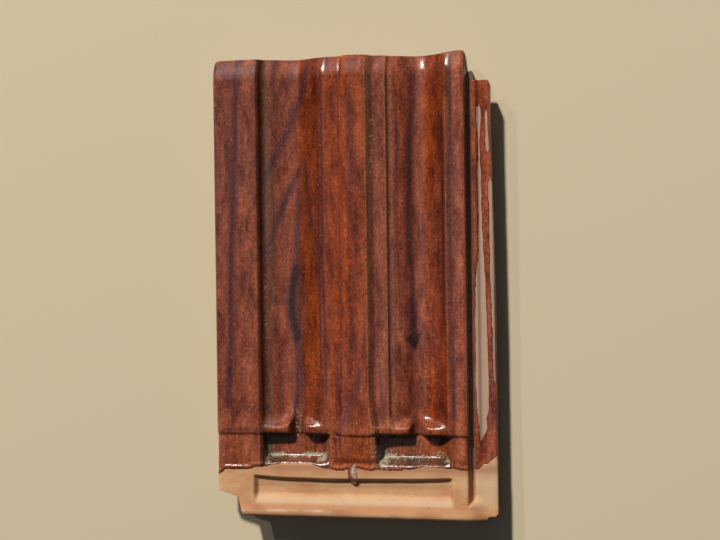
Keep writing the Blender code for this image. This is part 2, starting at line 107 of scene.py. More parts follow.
# %% [markdown]
# ## The cross section
# The face is the same along most of its length, because the press mould was cut with one profile.
# From the left: a broad flat strip that covers the neighbour, a pan for the water, a slope, a
# shoulder, the raised middle band, a second shoulder, pan and slope, and a narrow band. The lock
# flange on the right has a deep side groove and two ribs.

# %% Profile of the face
FLANGE = [
    (235.9, -1), (236.5, -1.7), (238, -1.8), (238.8, -1), (239.7, 3.4), (240.7, 4.6), (243.8, 4.7),
    (245, 3.9), (246, 2.6), (248.4, 2.5), (250.6, 3.4), (253.4, 4.6), (255, 4.6), (257.8, 4.4),
    (259.3, 3.7), (260, 2),
]
FACE = [
    (0, 7.4), (0.9, 9.7), (3.3, 10.6), (20, 10.7), (41.5, 10.6), (43, 9.9), (43.9, 8.3),
    (45, 6), (47, 5), (53, 4), (60, 2.4), (66, 0.9), (71, 0.2), (74, 0),
    (79.4, 0.1), (80.8, 0.6), (84, 2), (90, 4.5), (95, 6.7), (99.2, 8.3), (100.8, 8.5),
    (102.2, 9.3), (103.6, 9.9), (106.2, 10), (112, 10.4), (119.4, 11), (121.4, 11.2), (122.9, 15.2),
    (124.4, 15.9), (134, 16.5), (143.4, 16.5), (144.9, 16), (146, 14.8), (149.6, 10.5),
    (151.2, 9.8), (160.6, 9.9), (162.2, 9.9), (163, 9.1), (164, 7.3), (165.7, 6.4), (168.5, 5.9),
    (174, 4.6), (180, 2.9), (185, 1.4), (189, 0.4), (192, 0.1), (196.4, 0.2), (198, 0.7),
    (203, 2.9), (208, 5.4), (212, 7.6), (213.6, 8.3), (215, 9.5), (216.4, 11.3), (218.2, 12),
    (226, 12.1), (232.2, 12.1), (233.4, 11.6), (234.3, 10.4), (234.9, 8.6),
] + FLANGE
print("points across the face:", len(FACE), "highest:", max(z for x, z in FACE), "mm")

# %% [markdown]
# The last 76 mm at the head lie under the next tile. There the bands step down by 2 mm, the pans open
# into two recesses, and beyond them the bare clay is one level ledge with a long groove across it.

# %% Profiles of the head
LAP = [
    (0, 5.2), (0.9, 7.6), (3.3, 8.6), (42.2, 8.7), (43.5, 8.2), (44.4, 6), (46, -0.4), (48, -1.5),
    (88, -1.5), (97, -1.2), (101, 0.6), (105, 5.2), (110.4, 13), (112.4, 14.4), (149, 14.5),
    (150.7, 14), (151.7, 12.2), (153.8, 0), (156, -1.5), (198, -1.5), (207, -1.1), (211.5, 0.8),
    (216, 4.6), (219, 7.2), (220.4, 9.4), (222, 9.9), (232.2, 10), (233.4, 9.5), (234.3, 8),
    (234.9, 6.2),
] + FLANGE
LEDGE = [(0, 5.7), (0.8, 7.5), (2.8, 8.3), (232.4, 8.4), (233.8, 7.9), (234.9, 6)] + FLANGE
STEP_Y = 349.0
LEDGE_Y = 375.0
GROOVE_Y = 387.0
# How far the tail side of the cross groove bows away from a straight line
GROOVE_BOW = [(34, 0), (60, 1.6), (105, 2.2), (140, 1.7), (190, 0.8), (220, -0.6)]
print("head starts", LENGTH - STEP_Y, "mm from the end")

# %% [markdown]
# ## Weather stops
# At the head end of the two pans the mould scoops the clay up into four little lips. They keep driven
# rain from running up under the next tile, and the gaps between them let water drain back. Each lip
# is a soft ramp whose crest bows towards the head.

# %% Weather stops
# start and end of the scoop across the tile, where it is full height, crest at the middle, how far
# the crest bows, length of the scoop, height at the start and at the end, and the side of the gap.
# The third lip is two rows that overlap, with the ridge of the shoulder between them.
STOPS = [
    (36, 74.2, (36, 69), 342, 15, 17, 11, 10.6, 1),
    (80.6, 118, (86.5, 118), 341, 4.5, 13, 10.4, 11.6, -1),
    (146, 166.5, (146, 165), 340, 3, 10, 12.8, 11.2, 0),
    (160, 186, (160, 180.6), 341.5, 10, 13, 11.2, 10.6, 1),
    (190.6, 222, (197, 222), 341.5, 6, 13, 10.6, 11.9, -1),
]


def with_stops(x, y, z):
    """Raises the ends of the pans to the weather stops."""
    for start, end, full, middle, bow, scoop, first, last, gap in STOPS:
        u = np.clip(2.0 * (x - start) / (end - start) - 1, -1, 1)
        crest = middle - bow * u ** 4
        lift = ramp(y, crest - scoop, crest) ** 2.3
        side = 1.0
        if full[0] > start:
            side = soft(ramp(x, start, full[0]))
        if full[1] < end:
            side = side * soft(ramp(x, end, full[1]))
        fall = 0.08 + 0.14 * soft(np.clip(gap * u, 0, 1))
        top = first + (last - first) * ramp(x, start, end) - fall * np.clip(y - crest - 0.6, 0, 30)
        z = np.where(np.abs(u) < 1, np.maximum(z, z + (top - z) * lift * side), z)
    return z


print("weather stops:", len(STOPS))

# %% [markdown]
# ## The tail
# The lower edge of the tile bends down, so that rain drips clear of it, and the glaze catches the
# light along the bend. A power curve gives a bend that starts gently and is steepest at the edge. On
# the narrow band at the right the edge is drawn up again into a small lip.

# %% The tail
TAIL_FALL = 6.5
TAIL_RUN = 18.0


def with_tail(x, y, z):
    """Bends the tail down, and gives the narrow band its raised lip."""
    z = z - TAIL_FALL * ramp(x, 235.8, 234.3) * ramp(y, TAIL_RUN, 0) ** 1.5
    lip = peak(y, 3, 2.2) * soft(ramp(x, 220.5, 224)) * ramp(x, 234.2, 232)
    return z + lip


print("the tail falls", TAIL_FALL, "mm over", TAIL_RUN, "mm")

# %% [markdown]
# ## The head
# The head steps down to the lap and then to a level ledge with a long cross groove, and the side
# groove of the flange runs out in a bulge. Each function changes the height so far, as one cut would.

# %% The head and the end of the flange
MIDDLE_LAP_FALL = 4.0
FLANGE_LEVEL = 4.6
SIDE_GROOVE_END = [(398, 241), (404, 239.2), (408, 237), (411.5, 234), (413, 231)]


def with_head(x, y, z):
    """Steps down to the lap, and then to the level ledge."""
    lap = along(LAP, x)
    middle = ramp(lap, -1.5, 15) * ramp(x, 101, 104) * (x < 153.6)
    lap = lap - MIDDLE_LAP_FALL * ramp(y, STEP_Y, LEDGE_Y) * middle
    z = z + ramp(y, 347.6, STEP_Y) * (lap - z)
    return z + soft(ramp(y, 368, 377.2)) * (along(LEDGE, x) - z)


def with_cross_groove(x, y, z):
    """Sinks the long groove that takes the tail ribs of the tile above."""
    across = np.minimum(soft(ramp(x, 33.6, 37.6)), soft(ramp(x, 220.6, 216.8)))
    top_wall = GROOVE_Y + along(GROOVE_BOW, x)
    down = np.minimum(soft(ramp(y - top_wall, 0, 1.7)), soft(ramp(y, 413.5, 403)))
    groove_floor = 2.8 + 1.7 * ramp(y, 398, 389)
    return z + across * down * (np.minimum(groove_floor, z) - z)


def with_flange_end(x, y, z):
    """Levels the flange near the head, slits its end and fills the end of its side groove."""
    z = z - 2.4 * peak(x, 250.9, 0.6) * ramp(y, 407.5, 411)
    level = np.minimum(FLANGE_LEVEL, FLANGE_LEVEL - 0.32 * (x - 258))
    z = z + ramp(x, 240.6, 241.8) * soft(ramp(y, 364, 378)) * (level - z)
    groove_end = along(SIDE_GROOVE_END, y)
    filled = soft(ramp(x, groove_end - 0.8, groove_end + 1.4)) * ramp(y, 396, 400) * (x < 251.4)
    bulge = FLANGE_LEVEL + 3.9 * soft(ramp(x, 251.4, 235)) * soft(ramp(y, 402, 412))
    return np.where(x > 231, z + filled * (np.maximum(bulge, z) - z), z)


print("the side groove ends between", SIDE_GROOVE_END[0][0], "and", SIDE_GROOVE_END[-1][0], "mm")

# %% [markdown]
# ## One height for every place
# A height map suits a thing that comes out of a press: every place on the face has one height. The
# middle band spreads towards the head, so the profile is read at a shifted x there. Edges are
# softened and flats get a slight wave, because clay shrinks unevenly as it dries.

# %% The face as a height map
HEAD_FALL = 2.4


def profile_x(x, y):
    """Where on the profile a place lies, with the middle band spreading to both sides at the head."""
    t = ramp(y, 308, 343)
    spread = 13.0 * (1.0 - np.sqrt(1.0 - 0.96 * t * t)) * (1.0 - ramp(y, 347.4, 348.4))
    shifted = x
    for left, wall, moved, right in ((104, 122, 122 - spread, 134), (134, 146, 146 + 0.5 * spread, 162)):
        before = left + (x - left) * (wall - left) / (moved - left)
        after = right - (right - x) * (right - wall) / (right - moved)
        shifted = np.where((x > left) & (x < moved), before, shifted)
        shifted = np.where((x >= moved) & (x < right), after, shifted)
    return shifted


def face_height(x, y):
    """The height of the face, with crisp edges."""
    z = with_stops(x, y, along(FACE, profile_x(x, y)))
    for change in (with_tail, with_head, with_cross_groove, with_flange_end):
        z = change(x, y, z)
    return z - HEAD_FALL * (1.0 - np.sqrt(1.0 - ramp(y, 420.5, LENGTH) ** 2))


def pressed(x, y):
    """The height map as pressed clay gives it: edges a little softened, surfaces not quite flat."""
    total = 0.0
    for dx in (-0.7, 0, 0.7):
        for dy in (-0.7, 0, 0.7):
            total = total + face_height(np.clip(x + dx, 0, WIDTH), np.clip(y + dy, 0, LENGTH))
    wave = 0.1 * np.sin(0.021 * y + 0.05 * x) + 0.07 * np.sin(0.047 * y - 0.11 * x + 1.3)
    wave += 0.05 * np.sin(0.13 * y + 0.29 * x + 0.6)
    return total / 9.0 + wave - 0.15


print("height of the middle band:", round(float(pressed(np.array(131), np.array(200))), 2), "mm")

# %% [markdown]
# ## Outline
# Seen from above the tile isn't a rectangle. The left corner of the head is cut away so that four
# tiles can meet, the flange starts 24 mm behind the tail, and it ends a little short of the head.
# We keep a regular net of places and pull its lines onto those slanted edges.

# %% Nets and the outline
BAND_END = [(0, 234.2), (3, 235.1), (19, 236.9), (23, 239.7), (24, 240.1)]
TAIL_BOW = [
    (0, 0), (50, 0), (70, 0.5), (131, 1), (160, 1.8), (183, 2.4), (215, 2.2),
    (230, 0.8), (234, 1.2),
]


def stretches(*pieces):
    """Places in rising order, from (start, end, step) stretches that follow each other."""
    places = []
    for start, end, step in pieces:
        count = max(1, round((end - start) / step))
        places += [start + i * (end - start) / count for i in range(count)]
    return np.array(places + [pieces[-1][1]])


def onto_notch(x, y):
    """Pulls the net onto the cut corner of the head, in its rows and then in its columns."""
    top = 401.2 + 5.2 * ramp(x, 0, 16.5) + 0.8 * soft(ramp(x, 15.5, 18.6))
    in_notch_rows = (x < 26) * ramp(x, 26, 18.6)
    low_part = 380.0 + (y - 380) * (top - 380) / 27.0
    high_part = LENGTH - (LENGTH - y) * (LENGTH - top) / 18.0
    y = y + in_notch_rows * np.where(y < 407, ramp(y, 379.9, 380) * (low_part - y), high_part - y)
    side = 18.6 + 4.2 * ramp(y, 406.5, LENGTH)
    pull = ramp(y, 400, 407) * (side - 18.6)
    return x + pull * np.where(x < 18.6, ramp(x, 0, 18.6), ramp(x, 34, 18.6)), y


def onto_outline(x, y):
    """Moves the net's lines onto the slanted edges of the tail, the notch and the flange."""
    near_tail = (x > 232) & (x <= 240.1) & (y <= 24)
    x = np.where(near_tail, 232.0 + (x - 232) * (along(BAND_END, y) - 232) / 8.1, x)
    inset = 5.0 - np.sqrt(25.0 - np.maximum(5.0 - y, 0) ** 2)
    x = np.where(x < 10, inset + x * (10.0 - inset) / 10, x)
    x, y = onto_notch(x, y)
    end = LENGTH - 3.2 * soft(ramp(x, 249.6, 252.2)) - 0.9 * ramp(x, 241, 249.5)
    end = end - 2.6 * ramp(x, 256.6, WIDTH) ** 2
    y = np.where(y > 410, 410.0 + (y - 410) * (end - 410) / 15, y)
    start = 27.8 + 3.6 * ramp(x, 256.4, WIDTH) ** 2
    first = (x > 240.1) & (y < 40)
    y = np.where(first, 40.0 - (40.0 - y) * (40.0 - start) / 16, y)
    x = x - 3.0 * ramp(y, 240, 70) * ramp(x, 246, WIDTH)
    return x, y + along(TAIL_BOW, x) * ramp(y, 20, 0) * (x < 240.2)


def inside(u, v):
    """Which cells of the net belong to the tile, from the middles of the cells."""
    return ~((u < 18.6) & (v > 407)) & ~((u > 240.1) & (v < 24))


columns = stretches(
    (0, 4, 0.6), (4, 31, 3), (31, 45.5, 0.7), (45.5, 68, 2.3), (68, 86, 0.9), (86, 96, 2.3),
    (96, 113, 1.7), (113, 124, 0.7), (124, 140, 2.6), (140, 152, 0.7), (152, 159, 1.7),
    (159, 168, 0.7), (168, 180, 2.2), (180, 196, 0.9), (196, 208, 2.2), (208, 220, 0.9),
    (220, 230, 1.7), (230, 240.1, 0.55), (240.1, 260, 0.62),
)
columns[np.argmin(np.abs(columns - 18.6))] = 18.6
rows = stretches(
    (0, 4, 1), (4, 20, 1.6), (20, 24, 2), (24, 27, 1), (27, 40, 3.2), (40, 320, 7),
    (320, 366, 1.1), (366, 407, 0.75), (407, 425, 0.7),
)
print("net:", len(columns), "columns and", len(rows), "rows")

# %% [markdown]
# ## The underside
# Nobody sees it on the roof, so it is plain: hollow under the strip so that it slips over the
# neighbour's rib, hollow under the middle band so that tiles stack, two nibs near the head that hang
# behind the roof batten and two ribs near the tail that sit in the groove of the tile below.

# %% Height of the underside
UNDER = [
    (0, 0.2), (1, -1), (4.4, -1.2), (6.6, 4.4), (9, 4.5), (10.4, 1.7), (12.6, 1.7), (14.6, 4.5),
    (27.6, 4.5), (29.3, 3.3), (31.5, -9.6), (32.9, -10.8), (86, -10.8), (87.6, -9.6), (100.4, -1.8),
    (116.4, -0.9), (122.5, 4.9), (125.3, 6.3), (138.2, 6.3), (143.2, -0.3), (152.3, -0.6), (157.8, -9.6),
    (159.2, -10.8), (197.5, -10.8), (199, -9.6), (211.4, 0.3), (216.9, 1.9), (224.3, 1.9), (226.3, 0.3),
    (228.8, -9.6), (230.2, -10.8), (235.6, -10.8), (238.1, -7.4), (258.2, -7.3), (260, -5.6),
]
CLOSED = [(x, min(z, -10.8) if 84.0 < x < 232.0 else z) for x, z in UNDER]
FEET_PLACES = [
    (50.75, 78.75, 396, 410), (164.3, 192.3, 396, 410), (48.75, 80.75, 40, 51),
    (162.3, 194.3, 40, 51),
]


def under_height(x, y):
    """The height of the underside, which closes to a flat slab at the head."""
    closed = soft(ramp(y, 317, 341))
    z = along(UNDER, x) * (1.0 - closed) + along(CLOSED, x) * closed
    z = z + 1.2 * ramp(y, 2.5, 0) + 1.2 * ramp(y, LENGTH - 1.8, LENGTH)
    return np.minimum(z, pressed(x, y) - 1.5)


print("deepest hollow:", max(z for x, z in UNDER), "mm, soles of the feet:", -FEET, "mm")

# %% [markdown]
# ## The clay body
# One closed net: the face, the underside turned over, and walls between their open edges. A wall
# goes wherever an edge of the kept cells is used only once.

# %% Net to mesh
def kept_cells(u, v):
    """Corner numbers of every kept cell, turned so that they face up."""
    middle_u, middle_v = np.meshgrid(0.5 * (u[1:] + u[:-1]), 0.5 * (v[1:] + v[:-1]), indexing="ij")
    keep = inside(middle_u, middle_v)
    i, j = np.nonzero(keep)
    a = i * len(v) + j
    return np.stack([a, a + 1, a + len(v) + 1, a + len(v)], axis=-1)


def open_edges(cells):
    """Edges that only one cell uses, each in the direction its cell runs."""
    pairs = np.concatenate([np.stack([cells[:, k], cells[:, (k + 1) % 4]], -1) for k in range(4)])
    seen = {}
    for a, b in pairs.tolist():
        key = (min(a, b), max(a, b))
        seen[key] = None if key in seen else (a, b)
    return [pair for pair in seen.values() if pair]


def new_object(name, data):
    """An object with this data, linked to the scene."""
    item = bpy.data.objects.new(name, data)
    bpy.context.scene.collection.objects.link(item)
    return item


def mesh_piece(name, points, faces, values):
    """A smooth shaded object from points and faces, with its unused points left out."""
    used = np.unique(np.concatenate([np.ravel(f) for f in faces]))
    number = np.full(len(points), -1)
    number[used] = np.arange(len(used))
    mesh = bpy.data.meshes.new(name)
    lists = [number[np.array(f)].tolist() for f in faces]
    mesh.from_pydata(points[used].tolist(), [], [face for part in lists for face in part])
    for key, value in values.items():
        layer = mesh.attributes.new(key, "FLOAT", "POINT")
        layer.data.foreach_set("value", value[used].astype(np.float32))
    mesh.polygons.foreach_set("use_smooth", [True] * len(mesh.polygons))
    mesh.update()
    return new_object(name, mesh)


print("cells on the face:", len(kept_cells(columns, rows)))

# %% [markdown]
# ## The pressed body
# The net of places becomes points on the face and points on the underside. The four feet are simple
# tapered blocks that reach into the clay. Values are stored on the points too, such as where the
# clay was wiped or got dark in the fire, and the clay's material reads them later.

# %% The pressed clay body
def foot_faces(first):
    """The four sides of a foot, its sole and its root inside the clay."""
    sides = [(first + k, first + (k + 1) % 4, first + 4 + (k + 1) % 4, first + 4 + k) for k in range(4)]
    return sides + [(first + 3, first + 2, first + 1, first), (first + 4, first + 5, first + 6, first + 7)]


def foot_points(x0, x1, y0, y1):
    """The eight corners of a foot. The ribs near the tail are drafted on their tail side as well."""
    corners = []
    back = 0.0 if y0 > 300.0 else 1.6
    for z, grow, front in ((-FEET, 0, 0), (-8, 1.6, back)):
        low = y0 - front
        high = y1 + grow
        for x, y in ((x0 - grow, high), (x1 + grow, high), (x1 + grow, low), (x0 - grow, low)):
            corners.append(placed(np.array(x), np.array(y), np.array(z)))
    return corners


x, y = onto_outline(*np.meshgrid(columns, rows, indexing="ij"))
top = placed(x, y, pressed(x, y)).reshape(-1, 3)
bottom = placed(x, y, under_height(x, y)).reshape(-1, 3)
cells = kept_cells(columns, rows)
count = len(top)
walls = np.array([(b, a, a + count, b + count) for a, b in open_edges(cells)])
feet = [corner for sizes in FEET_PLACES for corner in foot_points(*sizes)]
foot_lists = [face for k in range(len(FEET_PLACES)) for face in foot_faces(2 * count + 8 * k)]
points = np.concatenate([top, bottom, np.array(feet)])
print("clay body:", count, "places on the face, lowest point", round(float(points[:, 2].min()), 5))

# %% What the clay remembers
groove = soft(ramp(y, 386, 389)) * plateau(x, 34, 36, 219, 221)
border = (x < 0.4) | (y < 2.8) | ((x > 258.9) & (y < 364))
border = border | ((x > 232) & (y < 30))
border = border | ((x > 240) & (np.abs(y - 28) < 3))
fumes = np.exp(-np.maximum(y - 380, 0) / 3.5)
values = {
    "wiped": ramp(x, 240, 241.5) * ramp(y, 362, 350),
    "lower_slope": groove * plateau(y, 403, 408.5, 412.5, 414.5),
    "rim_band": plateau(y, 412.5, 415, 418.5, 420.5),
    "corner": ramp(x, 239, 241) * plateau(y, 366, 374, 404, 414),
    "white_line": peak(y + 0.01 * x, 420, 0.9) * ramp(x, 128, 110) * (x > 20),
    "fumed": fumes * ramp(y, 370, 376) * ramp(x, 26, 60),
    "wrapped": border * ramp(y, 384, 378),
}
rest = np.zeros(len(points) - count)
values = {key: np.concatenate([value.reshape(-1), rest]) for key, value in values.items()}
body = mesh_piece("clay_body", points, [cells, cells[:, ::-1] + count, walls, foot_lists], values)
print("clay body:", len(body.data.polygons), "faces and", len(values), "stored values")

# %% [markdown]
# ## Where the glaze lies
# The tile is held by its bare head while it is dipped, so the glaze stops in an uneven line across
# the head lap, with a run where a drop ran back. Along the flange the glaze was wiped or never took,
# which leaves two long bare patches. `cover` is the distance to the nearest glaze edge: above zero
# there is glaze, below zero bare clay.

# %% Edges of the glaze
EDGE = [
    (0, 387.4), (2.5, 385), (5, 382.6), (10, 381.8), (18, 382.4), (30, 380.8), (41, 379.4),
    (50, 377.3), (60, 375.9), (72, 375.2), (88, 375.7), (97, 377.8), (104, 380),
    (112, 381.2), (121, 380.4), (132, 379.2), (145, 380.4), (170, 380.2), (180, 379.6),
    (189, 376.9), (213, 377), (222, 378.4), (235, 378.9), (238.7, 378.8), (243.3, 377.8),
    (247, 374.4), (251.5, 373), (256.2, 367.8), (260, 365),
]
BARE_LEFT = [
    (49, 247.8), (53, 245.4), (66, 245.4), (74, 246.2), (88, 247), (98, 247),
    (106, 245.6), (150, 246), (190, 245), (205, 242.6), (240, 241.8), (300, 241.6),
    (320, 242.2), (352, 245),
]
BARE_RIGHT = [
    (49, 248.6), (53, 249.6), (66, 249.8), (74, 248.6), (88, 248), (98, 248),
    (106, 248.8), (150, 249), (185, 250), (205, 251), (260, 252.2), (310, 252.9),
    (326, 252.2), (333, 250.4), (341, 251), (352, 246),
]
# Half the width and the middle of the second bare patch. Below zero there is none
PATCH_WIDTH = [
    (57, 0.8), (70, 1.4), (90, 1.2), (98, -1.5), (114, -1.5), (118, 1.6), (200, 2.2),
    (296, 1.4),
]
PATCH_MIDDLE = [(57, 255.8), (90, 256.4), (112, 258.2), (200, 258.2), (296, 258.8)]


def ragged(value, size, seed):
    """A gentle uneven line made of a few waves."""
    rng = np.random.default_rng(seed)
    total = 0.0
    for k in range(5):
        length = size * 0.62 ** k
        total = total + 0.7 ** k * np.sin(value / length * 6.28 + rng.uniform(0, 6.28))
    return total / 2.2


def glaze_cover(x, y):
    """Distance in mm to the nearest glaze edge: above zero is glazed, below zero is bare."""
    edge = along(EDGE, x) + 0.9 * ragged(x, 23, 3)
    cover = np.clip(edge - y, -6, 6)
    stem = 4.5 - np.hypot(x - 128.1, np.maximum(y - 389, 0) + np.maximum(376.0 - y, 0))
    cover = np.maximum(cover, np.maximum(stem, 4.2 - np.hypot(x - 129.4, 1.15 * (y - 391.6))))
    shift = 0.4 * ragged(y, 26, 8) + 0.35 * ragged(y, 8, 5)
    x = np.where(x > 241, 241.0 + (x - 241) * 19.0 / (16.0 + 3.0 * ramp(y, 70, 240)), x)
    left = along(BARE_LEFT, y) + shift
    right = along(BARE_RIGHT, y) + 0.4 * ragged(y, 19, 12) + 0.3 * ragged(y, 6, 6)
    ends = np.maximum(49.0 - y, y - 352)
    bare = np.maximum(np.maximum(left - x, x - right), ends)
    cover = np.minimum(cover, bare)
    width = along(PATCH_WIDTH, y) + 0.45 * ragged(y, 37, 21) + 0.3 * ragged(y, 7, 4)
    ends = np.maximum(57.0 - y, y - 298)
    bare = np.maximum(np.abs(x - along(PATCH_MIDDLE, y)) - width, ends)
    return np.minimum(cover, bare)


print("glaze at the middle of the head:", float(glaze_cover(np.array(126), np.array(385))), "mm")

# %% [markdown]
# ## The coat of glaze
# The glaze is a skin of glass about a third of a millimetre thick. A second, finer patch of the face
# carries it. The thickness and all that the material has to know are stored on the points of the
# patch as plain numbers, which is easier to place and to correct than a painted picture.

# %% The patch that carries the coat
coat_columns = stretches(
    (0, 4, 0.55), (4, 38.5, 2.3), (38.5, 45.5, 0.5), (45.5, 68, 1.7), (68, 86, 0.8), (86, 96, 1.7),
    (96, 113, 1.2), (113, 124, 0.5), (124, 139.5, 1.7), (139.5, 152, 0.55), (152, 159, 1.4),
    (159, 168, 0.55), (168, 180, 1.7), (180, 196, 0.8), (196, 208, 1.7), (208, 220, 0.7),
    (220, 230, 1.4), (230, 240.1, 0.5), (240.1, 260, 0.5),
)
coat_rows = stretches(
    (0, 10, 0.9), (10, 24, 2.6), (24, 27, 0.8), (27, 40, 2.6), (40, 320, 4.5), (320, 366, 0.9),
    (366, 398, 0.62),
)
x, y = onto_outline(*np.meshgrid(coat_columns, coat_rows, indexing="ij"))
cover = glaze_cover(x, y)


def relief(x, y, reach):
    """How far a place stands above the mean of its surroundings: crests above zero, hollows below."""
    total = 0.0
    for k in (-1, -0.5, 0.5, 1):
        total = total + face_height(np.clip(x + k * reach, 0, WIDTH), y)
        total = total + face_height(x, np.clip(y + k * reach, 0, LENGTH))
    return pressed(x, y) - total / 8.0


fine_relief = relief(x, y, 2.2)
broad_relief = relief(x, y, 9)
print("coat patch:", x.size, "places, highest crest", round(float(fine_relief.max()), 2), "mm")

# %% [markdown]
# ## Thickness
# Melted glaze leaves the crests, gathers in the hollows and draws up into a round bead along its
# edges, fattest along the head. Beyond the edge the thickness goes below zero, so that the coat dips
# into the clay instead of ending in a step.

# %% Thickness of the coat
on_bands = np.maximum(ramp(x, 47, 43), plateau(x, 107, 110, 149, 152))
on_bands = np.maximum(on_bands, plateau(x, 219, 221, 234, 236))
head_bead = 0.15 + 1.05 * on_bands * (1.0 - 0.25 * ramp(x, 10, 46))
head_bead = head_bead * peak(cover, 2.6, 1.7) * ramp(y, 364, 372)
drop = 1.7 * peak(np.hypot(x - 129.4, 1.2 * (y - 391.8)), 0, 3, 4)
thickness = 0.3 + 0.28 * peak(cover, 1.1, 0.8) + head_bead + drop
thickness = thickness - 0.25 * np.clip(fine_relief, -0.8, 0.6)
thickness = thickness * np.sqrt(np.clip(cover / 1.4, 0, 1)) - 0.35 * ramp(cover, 0.1, -0.5)
print("coat:", round(float(thickness.max()), 2), "mm at its thickest")

# %% [markdown]
# ## Runs, ash and soot
# Marks that follow a line are written as a width, a strength and the line's places in millimetres,
# like strokes of a brush. Dark glaze ran down the slopes in violet brown, and a few of the violet lines
# are a painted reflection of the sky. At the end of the pans ash and crumbs of clay stuck to the wet
# glaze, with soot below them and painted shade along the walls of the recesses.

# %% Strokes
def followed(strokes, x, y):
    """How strongly strokes, each a width, a strength and its places, cover a place, from 0 to 1."""
    total = np.zeros_like(x)
    for width, strength, line in strokes:
        nearest = np.full_like(x, 1e9)
        for (x0, y0), (x1, y1) in zip(line, line[1:]):
            length = (x1 - x0) ** 2 + (y1 - y0) ** 2
            t = np.clip(((x - x0) * (x1 - x0) + (y - y0) * (y1 - y0)) / length, 0, 1)
            gap = np.hypot(x - x0 - t * (x1 - x0), (y - y0 - t * (y1 - y0)) * 0.6)
            nearest = np.minimum(nearest, gap)
        total = np.maximum(total, strength * peak(nearest, 0, width))
    return total


print("middle of a stroke:", float(followed([(1, 1, [(0, 0), (2, 0)])], np.ones(1), np.zeros(1))[0]))

# %% Dark runs
# Most strokes are runs of dark glaze. The stroke near x 76 down pan one and the line just above the step
# at y 344 are a painted reflection of the sky.
RUNS_AND_PAINTED_SHEEN = [
    (5, 0.9, [(24, 0), (21, 60), (19, 120), (15, 200), (15, 260), (12, 320)]),
    (4.6, 0.9, [(88, 10), (80, 40), (67, 70), (54, 97), (47, 110)]),
    (4.2, 0.9, [(78, 104), (68, 126), (55, 160), (47, 176)]), (3, 0.7, [(60, 0), (56, 26), (62, 44)]),
    (5.2, 1.32, [(76, 196), (72, 214), (70.5, 234), (75, 258)]),
    (3.4, 0.8, [(78, 120), (76, 170), (77, 220), (76, 300), (74, 322)]),
    (3, 0.7, [(50, 222), (62, 226), (72, 222)]), (2.4, 0.6, [(46, 280), (50, 330)]),
    (4, 0.6, [(47, 324), (52, 335)]), (3.2, 0.7, [(62, 270), (60, 326)]),
    (2.6, 0.6, [(131, 38), (133, 80), (133, 118)]), (4.2, 0.62, [(138, 292), (129, 320), (121, 346)]),
    (2, 0.6, [(143, 120), (139, 124)]),
    (4.4, 0.85, [(188, 20), (182.5, 80), (181.5, 150), (182.5, 192)]),
    (3.6, 0.6, [(183, 192), (187, 236)]), (5.6, 0.95, [(184, 230), (186, 248), (186, 261)]),
    (2.2, 1.5, [(180, 260), (186, 266), (189, 257)]), (2.6, 0.7, [(172, 60), (170, 140), (174, 250)]),
    (2.2, 0.8, [(222, 10), (221.5, 120), (221.5, 250), (222.5, 330)]),
    (3, 0.7, [(152, 262), (155, 300), (157, 334)]), (1.8, 0.8, [(8, 344.5), (42, 344)]),
    (3, 0.7, [(208, 330), (206, 290), (202, 262)]), (4, 0.6, [(10, 10), (24, 34), (22, 60)]),
]
# The same violet brown in narrow straight lines where two slopes meet. The line along the shoulder
# edge at 103 mm is a painted reflection of the sky, and the line at 163.6 mm is painted shade at the
# foot of the small wall.
CREASES_AND_PAINTED_LIGHT = [
    (1.7, 0.85, [(102.8, 20), (103.2, 120), (103, 200), (104.6, 250), (104.8, 310)]),
    (1.2, 0.75, [(99, 50), (99.6, 120), (99.2, 180), (99.8, 290)]),
    (1.2, 0.75, [(118.7, 14), (119.3, 120), (118.9, 300)]), (1.3, 1, [(213.6, 60), (213.8, 240)]),
    (1, 0.9, [(163.6, 20), (163.6, 330)]),
]
# The relief bends the runs a little, so that they don't look ruled
swept_x = x + 1.1 * (fine_relief - fine_relief.mean())
swept_x = swept_x + 1.5 * (broad_relief - broad_relief.mean())
stain_and_painted_light = followed(RUNS_AND_PAINTED_SHEEN, swept_x, y + 3.0 * fine_relief)
stain_and_painted_light = np.maximum(stain_and_painted_light, followed(CREASES_AND_PAINTED_LIGHT, x + 0.35 * broad_relief, y))
print("dark runs:", len(RUNS_AND_PAINTED_SHEEN), "and", len(CREASES_AND_PAINTED_LIGHT), "lines")

# %% Ash and soot
# Ash and crumbs of clay that stuck to the wet glaze along the head
HEAD_ASH = [
    (1.6, 0.95, [(50, 369), (60, 368.5)]), (1.3, 0.7, [(66, 370), (74, 369.5)]),
    (1.6, 0.8, [(80, 369), (103, 367.5)]), (2.2, 0.8, [(96, 372.5), (101, 371)]),
    (2.4, 0.7, [(157, 371), (161, 366.5), (167, 369)]),
    (2, 0.5, [(170, 370), (186, 369.5), (200, 368)]),
    (2.2, 0.6, [(203, 367), (209, 365.5), (217, 372)]),
]
# Ash in the corners of the pans, and pale dust elsewhere
OTHER_ASH = [
    (2.4, 0.9, [(154.4, 352), (155, 362)]), (5.6, 0.95, [(154, 362), (157, 371)]),
    (3, 0.85, [(46, 352), (47, 374)]), (2.4, 0.5, [(107, 354), (108, 368)]),
    (3.2, 0.44, [(75.2, 326), (75.6, 350)]), (1.2, 0.5, [(84, 351), (92, 351.5)]),
    (2.4, 0.45, [(85, 335), (87, 346)]), (3, 0.95, [(129.6, 379), (129.8, 388)]),
    (1.5, 0.5, [(46.5, 200), (46.5, 262)]), (1.6, 0.5, [(149.5, 60), (149, 110)]),
]
